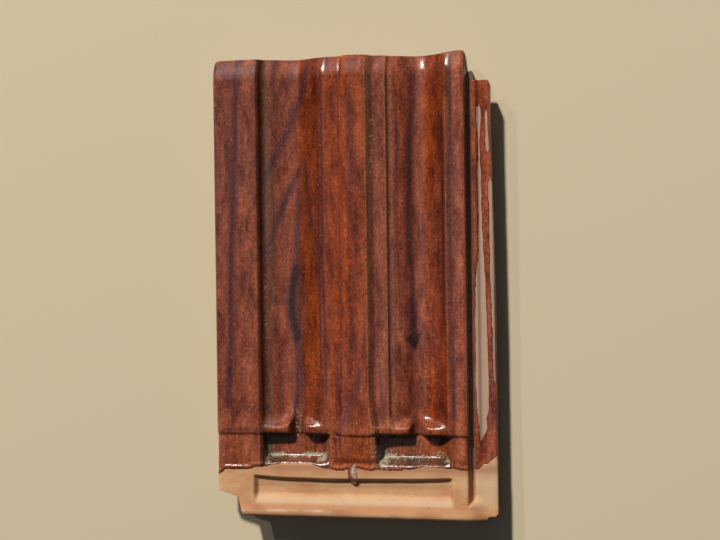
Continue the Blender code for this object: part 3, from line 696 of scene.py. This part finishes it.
# Soot and dark crumbs below the line of ash, and painted shade beside the drip, along the walls of
# the recesses and under the step at the third weather stop
SOOT_AND_SHADE = [
    (2.6, 1, [(48, 373), (56, 372.6), (66, 373.2)]), (1.2, 0.7, [(66, 373), (92, 372.5)]),
    (1.6, 0.8, [(92, 374), (104, 373)]),
    (2.8, 1, [(155, 373), (170, 372.6), (186, 371.6), (216, 372.6)]),
    (1.8, 1, [(124.6, 379), (125, 389)]), (1.8, 0.7, [(47, 352), (47, 374)]),
    (1.6, 0.7, [(152, 353), (153, 372)]), (1.2, 0.9, [(148, 346), (165, 348)]),
]
ash = followed(HEAD_ASH + OTHER_ASH, x, y)
soot_and_shade = followed(SOOT_AND_SHADE, x, y)
print("strokes of ash:", len(HEAD_ASH + OTHER_ASH), "strokes of soot:", len(SOOT_AND_SHADE))

# %% [markdown]
# ## Colour across the tile
# Seen across, the glaze changes from band to band. The pinkish veil on the flats is a painted
# reflection of the sky. The tone is partly how the glaze burnt, partly painted shade on the wall of
# the strip and a painted sheen on the flange ribs. Both change little along the tile, so each is a
# line drawn across it.

# %% Milk and tone
# How much painted reflection of the sky lies on the glaze as a pinkish veil: much on the flats and
# faces turned right, none on the slopes that face left
PAINTED_SKY_SHEEN = [
    (0, 0.85), (12, 0.8), (20, 0.6), (30, 0.8), (41, 0.6), (45, 0.35), (60, 0.5), (76, 0.55), (80, 0.5),
    (82, 0), (99, 0), (102, 0.3), (106, 0.35), (108, 0), (120, 0), (124, 0.25), (130, 0.05),
    (144, 0.25), (152, 0.75), (163, 0.8), (167, 0.55), (180, 0.5), (189, 0.75), (197, 0.7), (199, 0.15),
    (214, 0.05), (219, 0.5), (226, 0.7), (234, 0.7), (241, 0.4), (246, 0.2), (254, 0.6), (260, 0.6),
]
# How light the glaze is, 1 being the middle tone. It is partly how the glaze burnt, partly painted shade
# on the wall of the strip at 41 to 48 mm and a painted sheen on the flange ribs
TONE_AND_PAINTED_LIGHT = [
    (0, 0.9), (12, 0.88), (16, 0.84), (22, 0.94), (40.2, 0.97), (41.2, 0.34), (44, 0.36), (48, 0.54),
    (50, 0.72), (58, 0.76), (62, 1.06), (78, 1.04), (82, 0.78), (95, 0.74), (100, 0.82), (105, 0.98),
    (110, 1.04), (118, 1.06), (121, 1.3), (126, 1.26), (128, 0.92), (136, 0.98), (138, 1.18),
    (143, 1.15), (150, 1.02), (160, 1.02), (163, 1), (168, 1.02), (176, 1), (179, 0.7),
    (185, 0.72), (190, 1.04), (198, 1.02), (204, 0.98), (209, 0.7), (214, 0.66), (217, 0.8),
    (222, 0.78), (226, 1.18), (234, 1.16), (238, 1), (240, 1.25), (244, 1.16), (248, 1),
    (252, 1.12), (255, 1.3), (260, 1.25),
]
on_slope = plateau(x, 80, 84, 99, 102) + plateau(x, 197, 200, 213, 216)
tone_and_painted_light = along(TONE_AND_PAINTED_LIGHT, x) * (1.0 + (0.08 + 0.2 * on_slope) * ramp(y, 185, 250)) - 1.0
on_lap = ramp(y, 348, 351) * plateau(x, 107, 111, 148, 150)
tone_and_painted_light = tone_and_painted_light + 0.18 * on_lap
# Pale dust in the side groove and at the foot of the walls; in these shaded places it also lightens the
# glaze as a painted fill light.
dust_and_fill_light = 0.95 * peak(x, 237.2, 2.6, 4) + 0.45 * peak(x, 49, 4)
dust_and_fill_light = dust_and_fill_light + 0.5 * peak(x, 147.4, 2.2) + 0.35 * peak(x, 166, 2.5)
dust_and_fill_light = dust_and_fill_light * (1.0 - 0.45 * ramp(y, 150, 260) * (x < 230))
print("tone from", round(float(tone_and_painted_light.min()), 2), "to", round(float(tone_and_painted_light.max()), 2))

# %% [markdown]
# ## Worn edges and matt places
# On a sharp edge the glaze is so thin that the clay shows through as a pale line. Such an edge is
# called an arris. Some flats came out matt, and near the tail only the places that catch the light
# in the photo stay shiny.

# %% Worn edges and matt places
ARRISES = ((42.6, 0.5), (122.9, 0.1), (144.6, 0.8), (162.2, 1), (216.9, 0.55), (233.4, 0.8))
LIP_STRENGTHS = (0.55, 0.15, 0.9, 1, 0.2)
SHINY_PLACES = (1, 83, 104, 121, 196, 218, 253)
arris = np.zeros_like(x)
for place, strength in ARRISES:
    shown = strength * (0.75 + 0.25 * ragged(y, 60, int(place)))
    arris = np.maximum(arris, shown * peak(profile_x(x, y), place, 0.6))
arris = arris * ramp(y, 348, 344)
for (start, end, full, middle, bow, *others), strength in zip(STOPS, LIP_STRENGTHS):
    u = np.clip(2.0 * (x - start) / (end - start) - 1, -1, 1)
    on_lip = peak(y - (middle - bow * u ** 4), 0.7, 0.85) * (np.abs(u) < 0.95) * (x > 43)
    arris = np.maximum(arris, strength * on_lip)
dull = peak(x, 59, 18, 4) * peak(y, 332, 14, 4)
dull = dull + peak(x, 178, 9, 4) * peak(y, 334, 11, 4)
shiny = np.zeros_like(x)
for place in SHINY_PLACES:
    shiny = np.maximum(shiny, peak(x, place, 2.2, 4))
dull = np.maximum(dull, (1.0 - shiny) * ramp(y, 21, 16))
print("worn edges:", len(ARRISES) + len(LIP_STRENGTHS), "shiny places at the tail:", len(SHINY_PLACES))

# %% The patch as a mesh
values = {
    "coat": thickness / 1000,
    "broad": broad_relief,
    "cover": cover,
    "stain_and_painted_light": stain_and_painted_light,
    "sky_sheen": along(PAINTED_SKY_SHEEN, x),
    "ash": ash,
    "soot_and_shade": soot_and_shade,
    "dust_and_painted_fill": dust_and_fill_light,
    "combed": ramp(y, 332, 342) * ramp(x, 236, 233),
    "arris": arris,
    "dull": dull,
    "tone_and_painted_light": tone_and_painted_light,
}
values = {key: value.reshape(-1) for key, value in values.items()}
cells = kept_cells(coat_columns, coat_rows)
cells = cells[values["cover"][cells].max(axis=1) > -0.7]
coat_points = placed(x, y, pressed(x, y)).reshape(-1, 3)
coat = mesh_piece("glaze_coat", coat_points, [cells], values)
print("coat patch:", len(cells), "cells with", len(values), "stored values")

# %% [markdown]
# ## The coat in Geometry Nodes
# A Solidify modifier could thicken the patch evenly. A node tree can lift each place by its own
# stored thickness. The patch is sunk a little into the clay, extruded upwards, its top is moved by
# the thickness, and the turned-over patch closes it from below.

# %% The coat in Geometry Nodes
def new_tree(name, inputs):
    """An empty geometry tree with its geometry sockets and named inputs."""
    tree = bpy.data.node_groups.new(name, "GeometryNodeTree")
    tree.interface.new_socket("Geometry", in_out="INPUT", socket_type="NodeSocketGeometry")
    tree.interface.new_socket("Geometry", in_out="OUTPUT", socket_type="NodeSocketGeometry")
    for label, kind, value in inputs:
        socket = tree.interface.new_socket(label, in_out="INPUT", socket_type=kind)
        if value is not None:
            socket.default_value = value
    return tree, tree.nodes.new("NodeGroupInput"), tree.nodes.new("NodeGroupOutput")


def add(tree, kind, given=(), **settings):
    """Adds a node. given pairs a socket, a node's first output or a plain value with an input."""
    node = tree.nodes.new(kind)
    for key, value in settings.items():
        setattr(node, key, value)
    for value, target in given:
        if isinstance(value, bpy.types.Node):
            value = value.outputs[0]
        if isinstance(value, bpy.types.NodeSocket):
            tree.links.new(value, node.inputs[target])
        else:
            node.inputs[target].default_value = value
    return node


def product(tree, first, second):
    return add(tree, "ShaderNodeMath", [(first, 0), (second, 1)], operation="MULTIPLY")


def applied(piece, tree, given):
    """Runs a tree on a piece with inputs set by name, and keeps the result as a plain mesh."""
    modifier = piece.modifiers.new(tree.name, "NODES")
    modifier.node_group = tree
    for item in tree.interface.items_tree:
        if item.item_type == "SOCKET" and item.in_out == "INPUT" and item.name in given:
            modifier[item.identifier] = given[item.name]
    bpy.context.view_layer.update()
    result = piece.evaluated_get(bpy.context.evaluated_depsgraph_get())
    mesh = bpy.data.meshes.new_from_object(result)
    piece.modifiers.clear()
    piece.data = mesh
    print(tree.name, "made", len(mesh.polygons), "faces")
    return piece


glaze = bpy.data.materials.new("brown_glaze_coat")
clay = bpy.data.materials.new("fired_clay")
print("tree helpers ready")

# %% Lift, close and paint the coat
DEPTH_IN_CLAY = 0.0006
inputs = [("Material", "NodeSocketMaterial", None), ("Depth in clay", "NodeSocketFloat", DEPTH_IN_CLAY)]
tree, start, finish = new_tree("Glaze coat", inputs)
depth = start.outputs["Depth in clay"]
amount = add(tree, "GeometryNodeInputNamedAttribute", [("coat", "Name")], data_type="FLOAT")
lift = add(tree, "ShaderNodeCombineXYZ", [(amount, "Z")])
sunk = product(tree, depth, -1)
down = add(tree, "ShaderNodeCombineXYZ", [(sunk, "Z")])
low = add(tree, "GeometryNodeSetPosition", [(start, "Geometry"), (down, "Offset")])
up = add(tree, "ShaderNodeCombineXYZ", [(1, "Z")])
given = [(low, "Mesh"), (depth, "Offset Scale"), (up, "Offset"), (False, "Individual")]
raised = add(tree, "GeometryNodeExtrudeMesh", given, mode="FACES")
given = [(raised, "Geometry"), (raised.outputs["Top"], "Selection"), (lift, "Offset")]
skin = add(tree, "GeometryNodeSetPosition", given)
back = add(tree, "GeometryNodeFlipFaces", [(low, "Mesh")])
both = add(tree, "GeometryNodeJoinGeometry", [(back, "Geometry"), (skin, "Geometry")])
shell = add(tree, "GeometryNodeMergeByDistance", [(both, "Geometry"), (0.000004, "Distance")])
given = [(shell, "Geometry"), (start.outputs["Material"], "Material")]
painted = add(tree, "GeometryNodeSetMaterial", given)
plain = add(tree, "GeometryNodeRealizeInstances", [(painted, "Geometry")])
tree.links.new(plain.outputs["Geometry"], finish.inputs["Geometry"])
coat = applied(coat, tree, {"Material": glaze, "Depth in clay": DEPTH_IN_CLAY})
body.data.materials.append(clay)
print("triangles in the coat:", sum(len(p.vertices) - 2 for p in coat.data.polygons))

# %% [markdown]
# ## Crumbs and pinholes
# Small things that repeat are scattered by one Geometry Nodes tree. It picks points on a hidden
# patch, more of them where the patch says so, puts a little uneven pebble on each and keeps only
# the pebbles. Crumbs of dry clay stuck in the wet glaze at the end of the pans. Gas bubbles that
# burst in the fire left dark pinholes all over the face.

# %% A scattering tree
def scatter_tree():
    """Puts uneven pebbles on a patch, as many as its stored amount asks for."""
    inputs = [("Material", "NodeSocketMaterial", None), ("Per square metre", "NodeSocketFloat", 1000.0)]
    inputs += [("Seed", "NodeSocketInt", 1), ("Radius", "NodeSocketFloat", 0.0004)]
    inputs += [("Flatness", "NodeSocketFloat", 0.6), ("Sunk", "NodeSocketFloat", 0.0)]
    tree, start, finish = new_tree("Scatter", inputs)
    seed = (start.outputs["Seed"], "Seed")
    wanted = add(tree, "GeometryNodeInputNamedAttribute", [("amount", "Name")], data_type="FLOAT")
    density = product(tree, wanted, start.outputs["Per square metre"])
    given = [(start, "Mesh"), (density, "Density"), seed]
    points = add(tree, "GeometryNodeDistributePointsOnFaces", given)
    given = [(start.outputs["Radius"], "Radius"), (1, "Subdivisions")]
    pebble = add(tree, "GeometryNodeMeshIcoSphere", given)
    size = add(tree, "FunctionNodeRandomValue", [seed, (0.45, 2), (1.7, 3)], data_type="FLOAT")
    width = add(tree, "FunctionNodeRandomValue", [seed, (0.6, 2), (1.5, 3)], data_type="FLOAT")
    length = size.outputs[1]
    height = product(tree, length, start.outputs["Flatness"])
    across = product(tree, length, width.outputs[1])
    scale = add(tree, "ShaderNodeCombineXYZ", [(across, "X"), (length, "Y"), (height, "Z")])
    turned = points.outputs["Rotation"]
    given = [(points, "Points"), (pebble, "Instance"), (turned, "Rotation"), (scale, "Scale")]
    placed_ones = add(tree, "GeometryNodeInstanceOnPoints", given)
    down = add(tree, "ShaderNodeCombineXYZ", [(start.outputs["Sunk"], "Z")])
    sunk = add(tree, "GeometryNodeTranslateInstances", [(placed_ones, "Instances"), (down, "Translation")])
    plain = add(tree, "GeometryNodeRealizeInstances", [(sunk, "Geometry")])
    given = [(plain, "Geometry"), (start.outputs["Material"], "Material")]
    painted = add(tree, "GeometryNodeSetMaterial", given)
    tree.links.new(painted.outputs["Geometry"], finish.inputs["Geometry"])
    return tree


scatter = scatter_tree()


def scattered(name, x_range, y_range, step, amount, given):
    """Pebbles on a patch of the face. amount gives how many are wanted at a place."""
    u = stretches((*x_range, step))
    v = stretches((*y_range, step))
    x, y = np.meshgrid(u, v, indexing="ij")
    points = placed(x, y, pressed(x, y) + 0.25).reshape(-1, 3)
    host = mesh_piece(name, points, [kept_cells(u, v)], {"amount": amount(x, y).reshape(-1)})
    return applied(host, scatter, given)


print("scattering tree:", len(scatter.nodes), "nodes")

# %% [markdown]
# The same tree makes three pieces, each with its own seed, size and flatness. Crumbs are pale and
# thick, pinholes dark and flat, and the grains of the bare head lie half sunk in the clay.

# %% Scatter crumbs and pinholes
def crumb_amount(x, y):
    return np.clip(followed(HEAD_ASH, x, y) - 0.25, 0, 1) * (y > 362)


def hole_amount(x, y):
    return (glaze_cover(x, y) > 1.5) * (np.abs(relief(x, y, 2.2)) < 0.25) * (y > 12) * 1.0


def grain_amount(x, y):
    return np.ones_like(x)


def settings(material, many, seed, radius, flatness, sunk):
    """The inputs of the scattering tree by their names."""
    given = {"Material": material, "Per square metre": many, "Seed": seed, "Radius": radius}
    return {**given, "Flatness": flatness, "Sunk": sunk}


crumb = bpy.data.materials.new("kiln_crumbs")
pinhole = bpy.data.materials.new("pinhole_dark")
given = settings(crumb, 260000.0, 7, 0.0004, 0.7, 0.0)
crumbs = scattered("crumbs", (46, 219), (363, 376), 1.2, crumb_amount, given)
given = settings(pinhole, 900.0, 11, 0.00034, 0.25, 0.00002)
pinholes = scattered("pinholes", (3, 232), (12, 346), 2.4, hole_amount, given)
given = settings(clay, 5200.0, 5, 0.00042, 0.5, -0.00025)
grains = scattered("clay_grains", (26, 230), (382, 420), 2.4, grain_amount, given)

# %% [markdown]
# ## Glaze material
# An iron glaze is a dark red-brown glass. Where it lies thin on a crest the clay burns through as
# orange, where it runs together it turns purple-brown. Long smeared streaks run down the tile, the
# way the glaze drained after dipping.

# %% Node helpers for materials
# shader_nodes opens a material as tree and main, and the other helpers add their nodes to that tree
def shader_nodes(material):
    """Clears a material and gives it one Principled node."""
    material.use_nodes = True
    tree = material.node_tree
    tree.nodes.clear()
    out = tree.nodes.new("ShaderNodeOutputMaterial")
    main = tree.nodes.new("ShaderNodeBsdfPrincipled")
    tree.links.new(main.outputs[0], out.inputs["Surface"])
    return tree, main


def noise(size, scale, detail, rough=0.5, offset=(0, 0, 0)):
    """Noise on Object coordinates, stretched by a scale for each axis."""
    place = add(tree, "ShaderNodeTexCoord")
    given = [(place.outputs["Object"], "Vector"), (scale, "Scale"), (offset, "Location")]
    mapping = add(tree, "ShaderNodeMapping", given)
    given = [(mapping, "Vector"), (size, "Scale"), (detail, "Detail"), (rough, "Roughness")]
    return add(tree, "ShaderNodeTexNoise", given).outputs["Fac"]


def mapped(value, low, high, out_low=0, out_high=1):
    """Turns the range from low to high into another range, and holds it there."""
    given = [(value, "Value"), (low, "From Min"), (high, "From Max")]
    given += [(out_low, "To Min"), (out_high, "To Max")]
    return add(tree, "ShaderNodeMapRange", given).outputs["Result"]


def mixed(amount, first, second):
    """Mixes two colours, each a socket or a plain colour."""
    given = [(amount, 0)]
    for value, target in ((first, 6), (second, 7)):
        given.append((value + (1,) if isinstance(value, tuple) else value, target))
    return add(tree, "ShaderNodeMix", given, data_type="RGBA").outputs[2]


def stored(name):
    """A value that was stored on the points."""
    return add(tree, "ShaderNodeAttribute", attribute_name=name).outputs["Fac"]


def plus(first, second):
    return add(tree, "ShaderNodeMath", [(first, 0), (second, 1)], operation="ADD").outputs[0]


def times(first, second):
    return product(tree, first, second).outputs[0]


def tinted(colour, name, share, tint):
    """Lays a share of a tint over the colour where a stored value says so."""
    return mixed(times(stored(name), share), colour, tint)


def feed(value, name):
    """Joins a socket to an input of the main node."""
    tree.links.new(value, main.inputs[name])


def bumped(height, strength, distance):
    """Gives the surface a fine unevenness from a height."""
    given = [(height, "Height"), (strength, "Strength"), (distance, "Distance")]
    bump = add(tree, "ShaderNodeBump", given)
    feed(bump.outputs["Normal"], "Normal")


print("material helpers ready")

# %% Brown glaze
tree, main = shader_nodes(glaze)
streaks = noise(150, (1, 0.045, 1), 5, 0.6)
mottle = noise(110, (1, 0.3, 1), 6, 0.68, (3.1, 0.4, 0))
drift = noise(22, (1, 0.3, 1), 3, 0.55, (0, 7, 0))
grain = noise(520, (1, 0.75, 1), 3, 0.65)
patchy = mapped(mottle, 0.34, 0.66)
orange = mixed(patchy, (0.07, 0.0095, 0.002), (0.246, 0.044, 0.009))
# The milky pinkish colour is a painted reflection of the sky on the flats.
sheen_colour = mixed(patchy, (0.094, 0.021, 0.014), (0.284, 0.084, 0.046))
shown = plus(stored("sky_sheen"), mapped(drift, 0.3, 0.7, -0.22, 0.22))
colour = mixed(shown, orange, sheen_colour)
deep = times(mapped(drift, 0.5, 0.66), mapped(streaks, 0.46, 0.62))
colour = mixed(times(deep, 0.7), colour, (0.066, 0.018, 0.019))
# Dark violet runs, with a few painted sky reflections and painted shade among the lines.
ragged_stain_and_light = plus(stored("stain_and_painted_light"), mapped(mottle, 0.3, 0.7, -0.28, 0.28))
ragged_stain_and_light = plus(ragged_stain_and_light, mapped(streaks, 0.3, 0.7, -0.2, 0.2))
stain_and_light_share = times(mapped(ragged_stain_and_light, 0.25, 0.9), 0.85)
colour = mixed(stain_and_light_share, colour, (0.058, 0.018, 0.021))
colour = mixed(mapped(ragged_stain_and_light, 0.85, 1.2, 0, 0.85), colour, (0.022, 0.009, 0.006))
pool = mapped(stored("broad"), -0.9, -3.2, 0, 0.75)
colour = mixed(pool, colour, (0.05, 0.013, 0.01))
colour = tinted(colour, "arris", 0.85, (0.42, 0.135, 0.05))
near_edge = mapped(stored("cover"), 1.7, 0.3, 0, 0.8)
colour = mixed(near_edge, colour, (0.12, 0.022, 0.014))
comb = noise(620, (1, 0.03, 1), 2, 0.6)
teeth = times(mapped(comb, 0.4, 0.66), stored("combed"))
colour = mixed(times(teeth, 0.5), colour, (0.29, 0.082, 0.028))
crust = noise(300, (1, 1.6, 1), 4, 0.65, (0, 3.3, 0))
ashy = plus(stored("ash"), mapped(crust, 0.35, 0.65, -0.42, 0.34))
ashy = mapped(plus(ashy, mapped(grain, 0.3, 0.7, -0.25, 0.25)), 0.34, 0.9)
# Soot below the ash, together with painted shade beside the drip and along the recess walls.
soot_and_shade_share = times(stored("soot_and_shade"), mapped(crust, 0.3, 0.48))
colour = mixed(times(soot_and_shade_share, 0.9), colour, (0.03, 0.022, 0.014))
colour = mixed(times(ashy, 0.85), colour, (0.275, 0.24, 0.16))
# Dust colour, which also lightens the shaded groove and walls as painted fill light.
dust_and_fill_share = times(stored("dust_and_painted_fill"), mapped(streaks, 0.34, 0.6, 0.35, 1))
colour = mixed(dust_and_fill_share, colour, (0.2, 0.13, 0.08))
# Tone, partly how the glaze burnt and partly painted shade and sheen, scales the colour.
tone_and_painted_light = plus(stored("tone_and_painted_light"), 1)
speck = times(mapped(grain, 0.34, 0.66, 0.64, 1.36), tone_and_painted_light)
fleck = add(tree, "ShaderNodeVectorMath", [(colour, 0), (speck, "Scale")], operation="SCALE")
feed(fleck.outputs[0], "Base Color")
dull = stored("dull")
rough = plus(mapped(ashy, 0.2, 1, 0.2, 0.65), times(dull, 0.25))
feed(rough, "Roughness")
feed(mapped(dull, 0, 1, 0.5, 0.09), "Specular IOR Level")
waves = noise(260, (1, 0.35, 1), 3, 0.55)
height = plus(plus(waves, times(grain, 0.35)), times(teeth, 0.5))
bumped(height, 0.4, 0.0006)
print("glaze nodes:", len(tree.nodes))

# %% [markdown]
# The clay burns to a warm buff orange. Its surface is matt and a little grainy, yellower on the lower
# slope of the cross groove and greyer where a film of glaze was wiped off.

# %% Fired clay
tree, main = shader_nodes(clay)
blotch = noise(34, (1, 1.6, 1), 5, 0.6)
smear = noise(60, (0.12, 1, 1), 4, 0.6, (1.7, 0, 0))
grain = noise(900, (1, 1, 1), 2, 0.5)
colour = mixed(mapped(blotch, 0.36, 0.66), (0.405, 0.188, 0.082), (0.528, 0.3, 0.15))
colour = mixed(mapped(smear, 0.5, 0.62, 0, 0.8), colour, (0.52, 0.306, 0.158))
colour = tinted(colour, "lower_slope", 0.8, (0.43, 0.292, 0.168))
hot = mapped(plus(smear, times(blotch, 0.4)), 0.58, 0.8)
hot = times(hot, stored("rim_band"))
colour = mixed(times(hot, 0.8), colour, (0.58, 0.24, 0.11))
colour = tinted(colour, "corner", 0.6, (0.53, 0.385, 0.23))
white = times(stored("white_line"), mapped(blotch, 0.4, 0.6))
colour = mixed(white, colour, (0.66, 0.52, 0.4))
colour = tinted(colour, "fumed", 0.75, (0.3, 0.135, 0.065))
colour = mixed(mapped(grain, 0.58, 0.74, 0, 0.5), colour, (0.38, 0.18, 0.085))
colour = tinted(colour, "wiped", 0.9, (0.3, 0.205, 0.14))
runs_over = noise(120, (1, 1, 0.12), 4, 0.6)
wrapped = plus(stored("wrapped"), mapped(runs_over, 0.3, 0.7, -0.3, 0.3))
dipped = mapped(wrapped, 0.5, 0.56)
colour = mixed(dipped, colour, (0.105, 0.026, 0.013))
feed(colour, "Base Color")
feed(mapped(dipped, 0, 1, 0.85, 0.25), "Roughness")
bumped(grain, 0.4, 0.0005)
print("clay nodes:", len(tree.nodes))

# %% [markdown]
# Crumbs of dry clay are pale and pinholes nearly black. A little noise keeps them from being flat
# colours, which is all that things of half a millimetre need.

# %% Crumbs and pinholes
for material, tint, rough in ((crumb, (0.36, 0.33, 0.23), 0.35), (pinhole, (0.03, 0.01, 0.008), 0.5)):
    tree, main = shader_nodes(material)
    shade = noise(700, (1, 1, 1), 2, 0.5)
    dark = tuple(0.45 * v for v in tint)
    feed(mixed(mapped(shade, 0.35, 0.62), dark, tint), "Base Color")
    main.inputs["Roughness"].default_value = rough
print("crumb and pinhole materials ready")

# %% [markdown]
# ## Floor, light and camera
# One strong lamp from beyond the tail draws the shadows under the weather stops, and a small one
# further left makes the glints on the glaze. A low bluish lamp behind the tail and a wide dim one
# overhead stand for window and sky, which the glaze reflects.

# %% Floor and light
floor_mesh = bpy.data.meshes.new("floor")
floor_mesh.from_pydata([(-12, -12, 0), (12, -12, 0), (12, 12, 0), (-12, 12, 0)], [], [(0, 1, 2, 3)])
floor = new_object("floor", floor_mesh)
sand = bpy.data.materials.new("sand_floor")
tree, main = shader_nodes(sand)
main.inputs["Base Color"].default_value = (0.478, 0.404, 0.272, 1)
main.inputs["Roughness"].default_value = 0.9
floor_mesh.materials.append(sand)


def lamp(name, place, aim, size, power, colour):
    """A round area lamp, turned so that it shines on its aim."""
    data = bpy.data.lights.new(name, "AREA")
    data.shape = "DISK"
    data.size = size
    data.energy = power
    data.color = colour
    item = new_object(name, data)
    item.location = place
    item.rotation_euler = (Vector(aim) - Vector(place)).to_track_quat("-Z", "Y").to_euler()
    return item


key = lamp("key", (-2.9, 7.9, 7.2), (0, 0, 0), 0.8, 1860, (1, 0.955, 0.9))
glint = lamp("glint", (-5.6, 6.9, 7), (0, 0, 0), 0.24, 240, (1, 0.97, 0.93))
window = lamp("window", (0.4, 3.2, 0.9), (0, 0.2, 0), 1.6, 8, (0.72, 0.78, 1))
sky = lamp("sky", (-0.15, 0.1, 1.9), (0, 0, 0), 1.4, 1.3, (0.9, 0.95, 1))
world = bpy.data.worlds.new("studio")
world.use_nodes = True
world.node_tree.nodes["Background"].inputs["Color"].default_value = (0.62, 0.7, 0.82, 1)
world.node_tree.nodes["Background"].inputs["Strength"].default_value = 0.055
bpy.context.scene.world = world
bpy.context.scene.view_settings.view_transform = "Standard"
print("lamps:", key.name, glint.name, window.name, sky.name)

# %% [markdown]
# The camera looks down from a metre above, leaning ten degrees to the left. Its place, its directions
# and its lens of 55.5 mm were solved from points whose places on the tile are known.

# %% Camera
camera_data = bpy.data.cameras.new("camera")
camera = new_object("camera", camera_data)
camera_data.sensor_width = 36.0
camera_data.lens = 55.5
camera_data.dof.use_dof = False
look = Vector((-0.1797, -0.0049, -0.9837)).normalized()
right = look.cross(Vector((0.012, 0.9999, -0.0072))).normalized()
upward = right.cross(look)
turn = Matrix((right, upward, -look)).transposed().to_4x4()
camera.matrix_world = Matrix.Translation((0.1896, 0.0201, 1.0288)) @ turn
bpy.context.scene.camera = camera
print("camera height:", round(camera.matrix_world.translation.z, 3), "m")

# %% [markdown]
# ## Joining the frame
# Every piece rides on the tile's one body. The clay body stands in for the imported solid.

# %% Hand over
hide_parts("tile")
for piece in (body, coat, crumbs, pinholes, grains):
    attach(piece, "root")
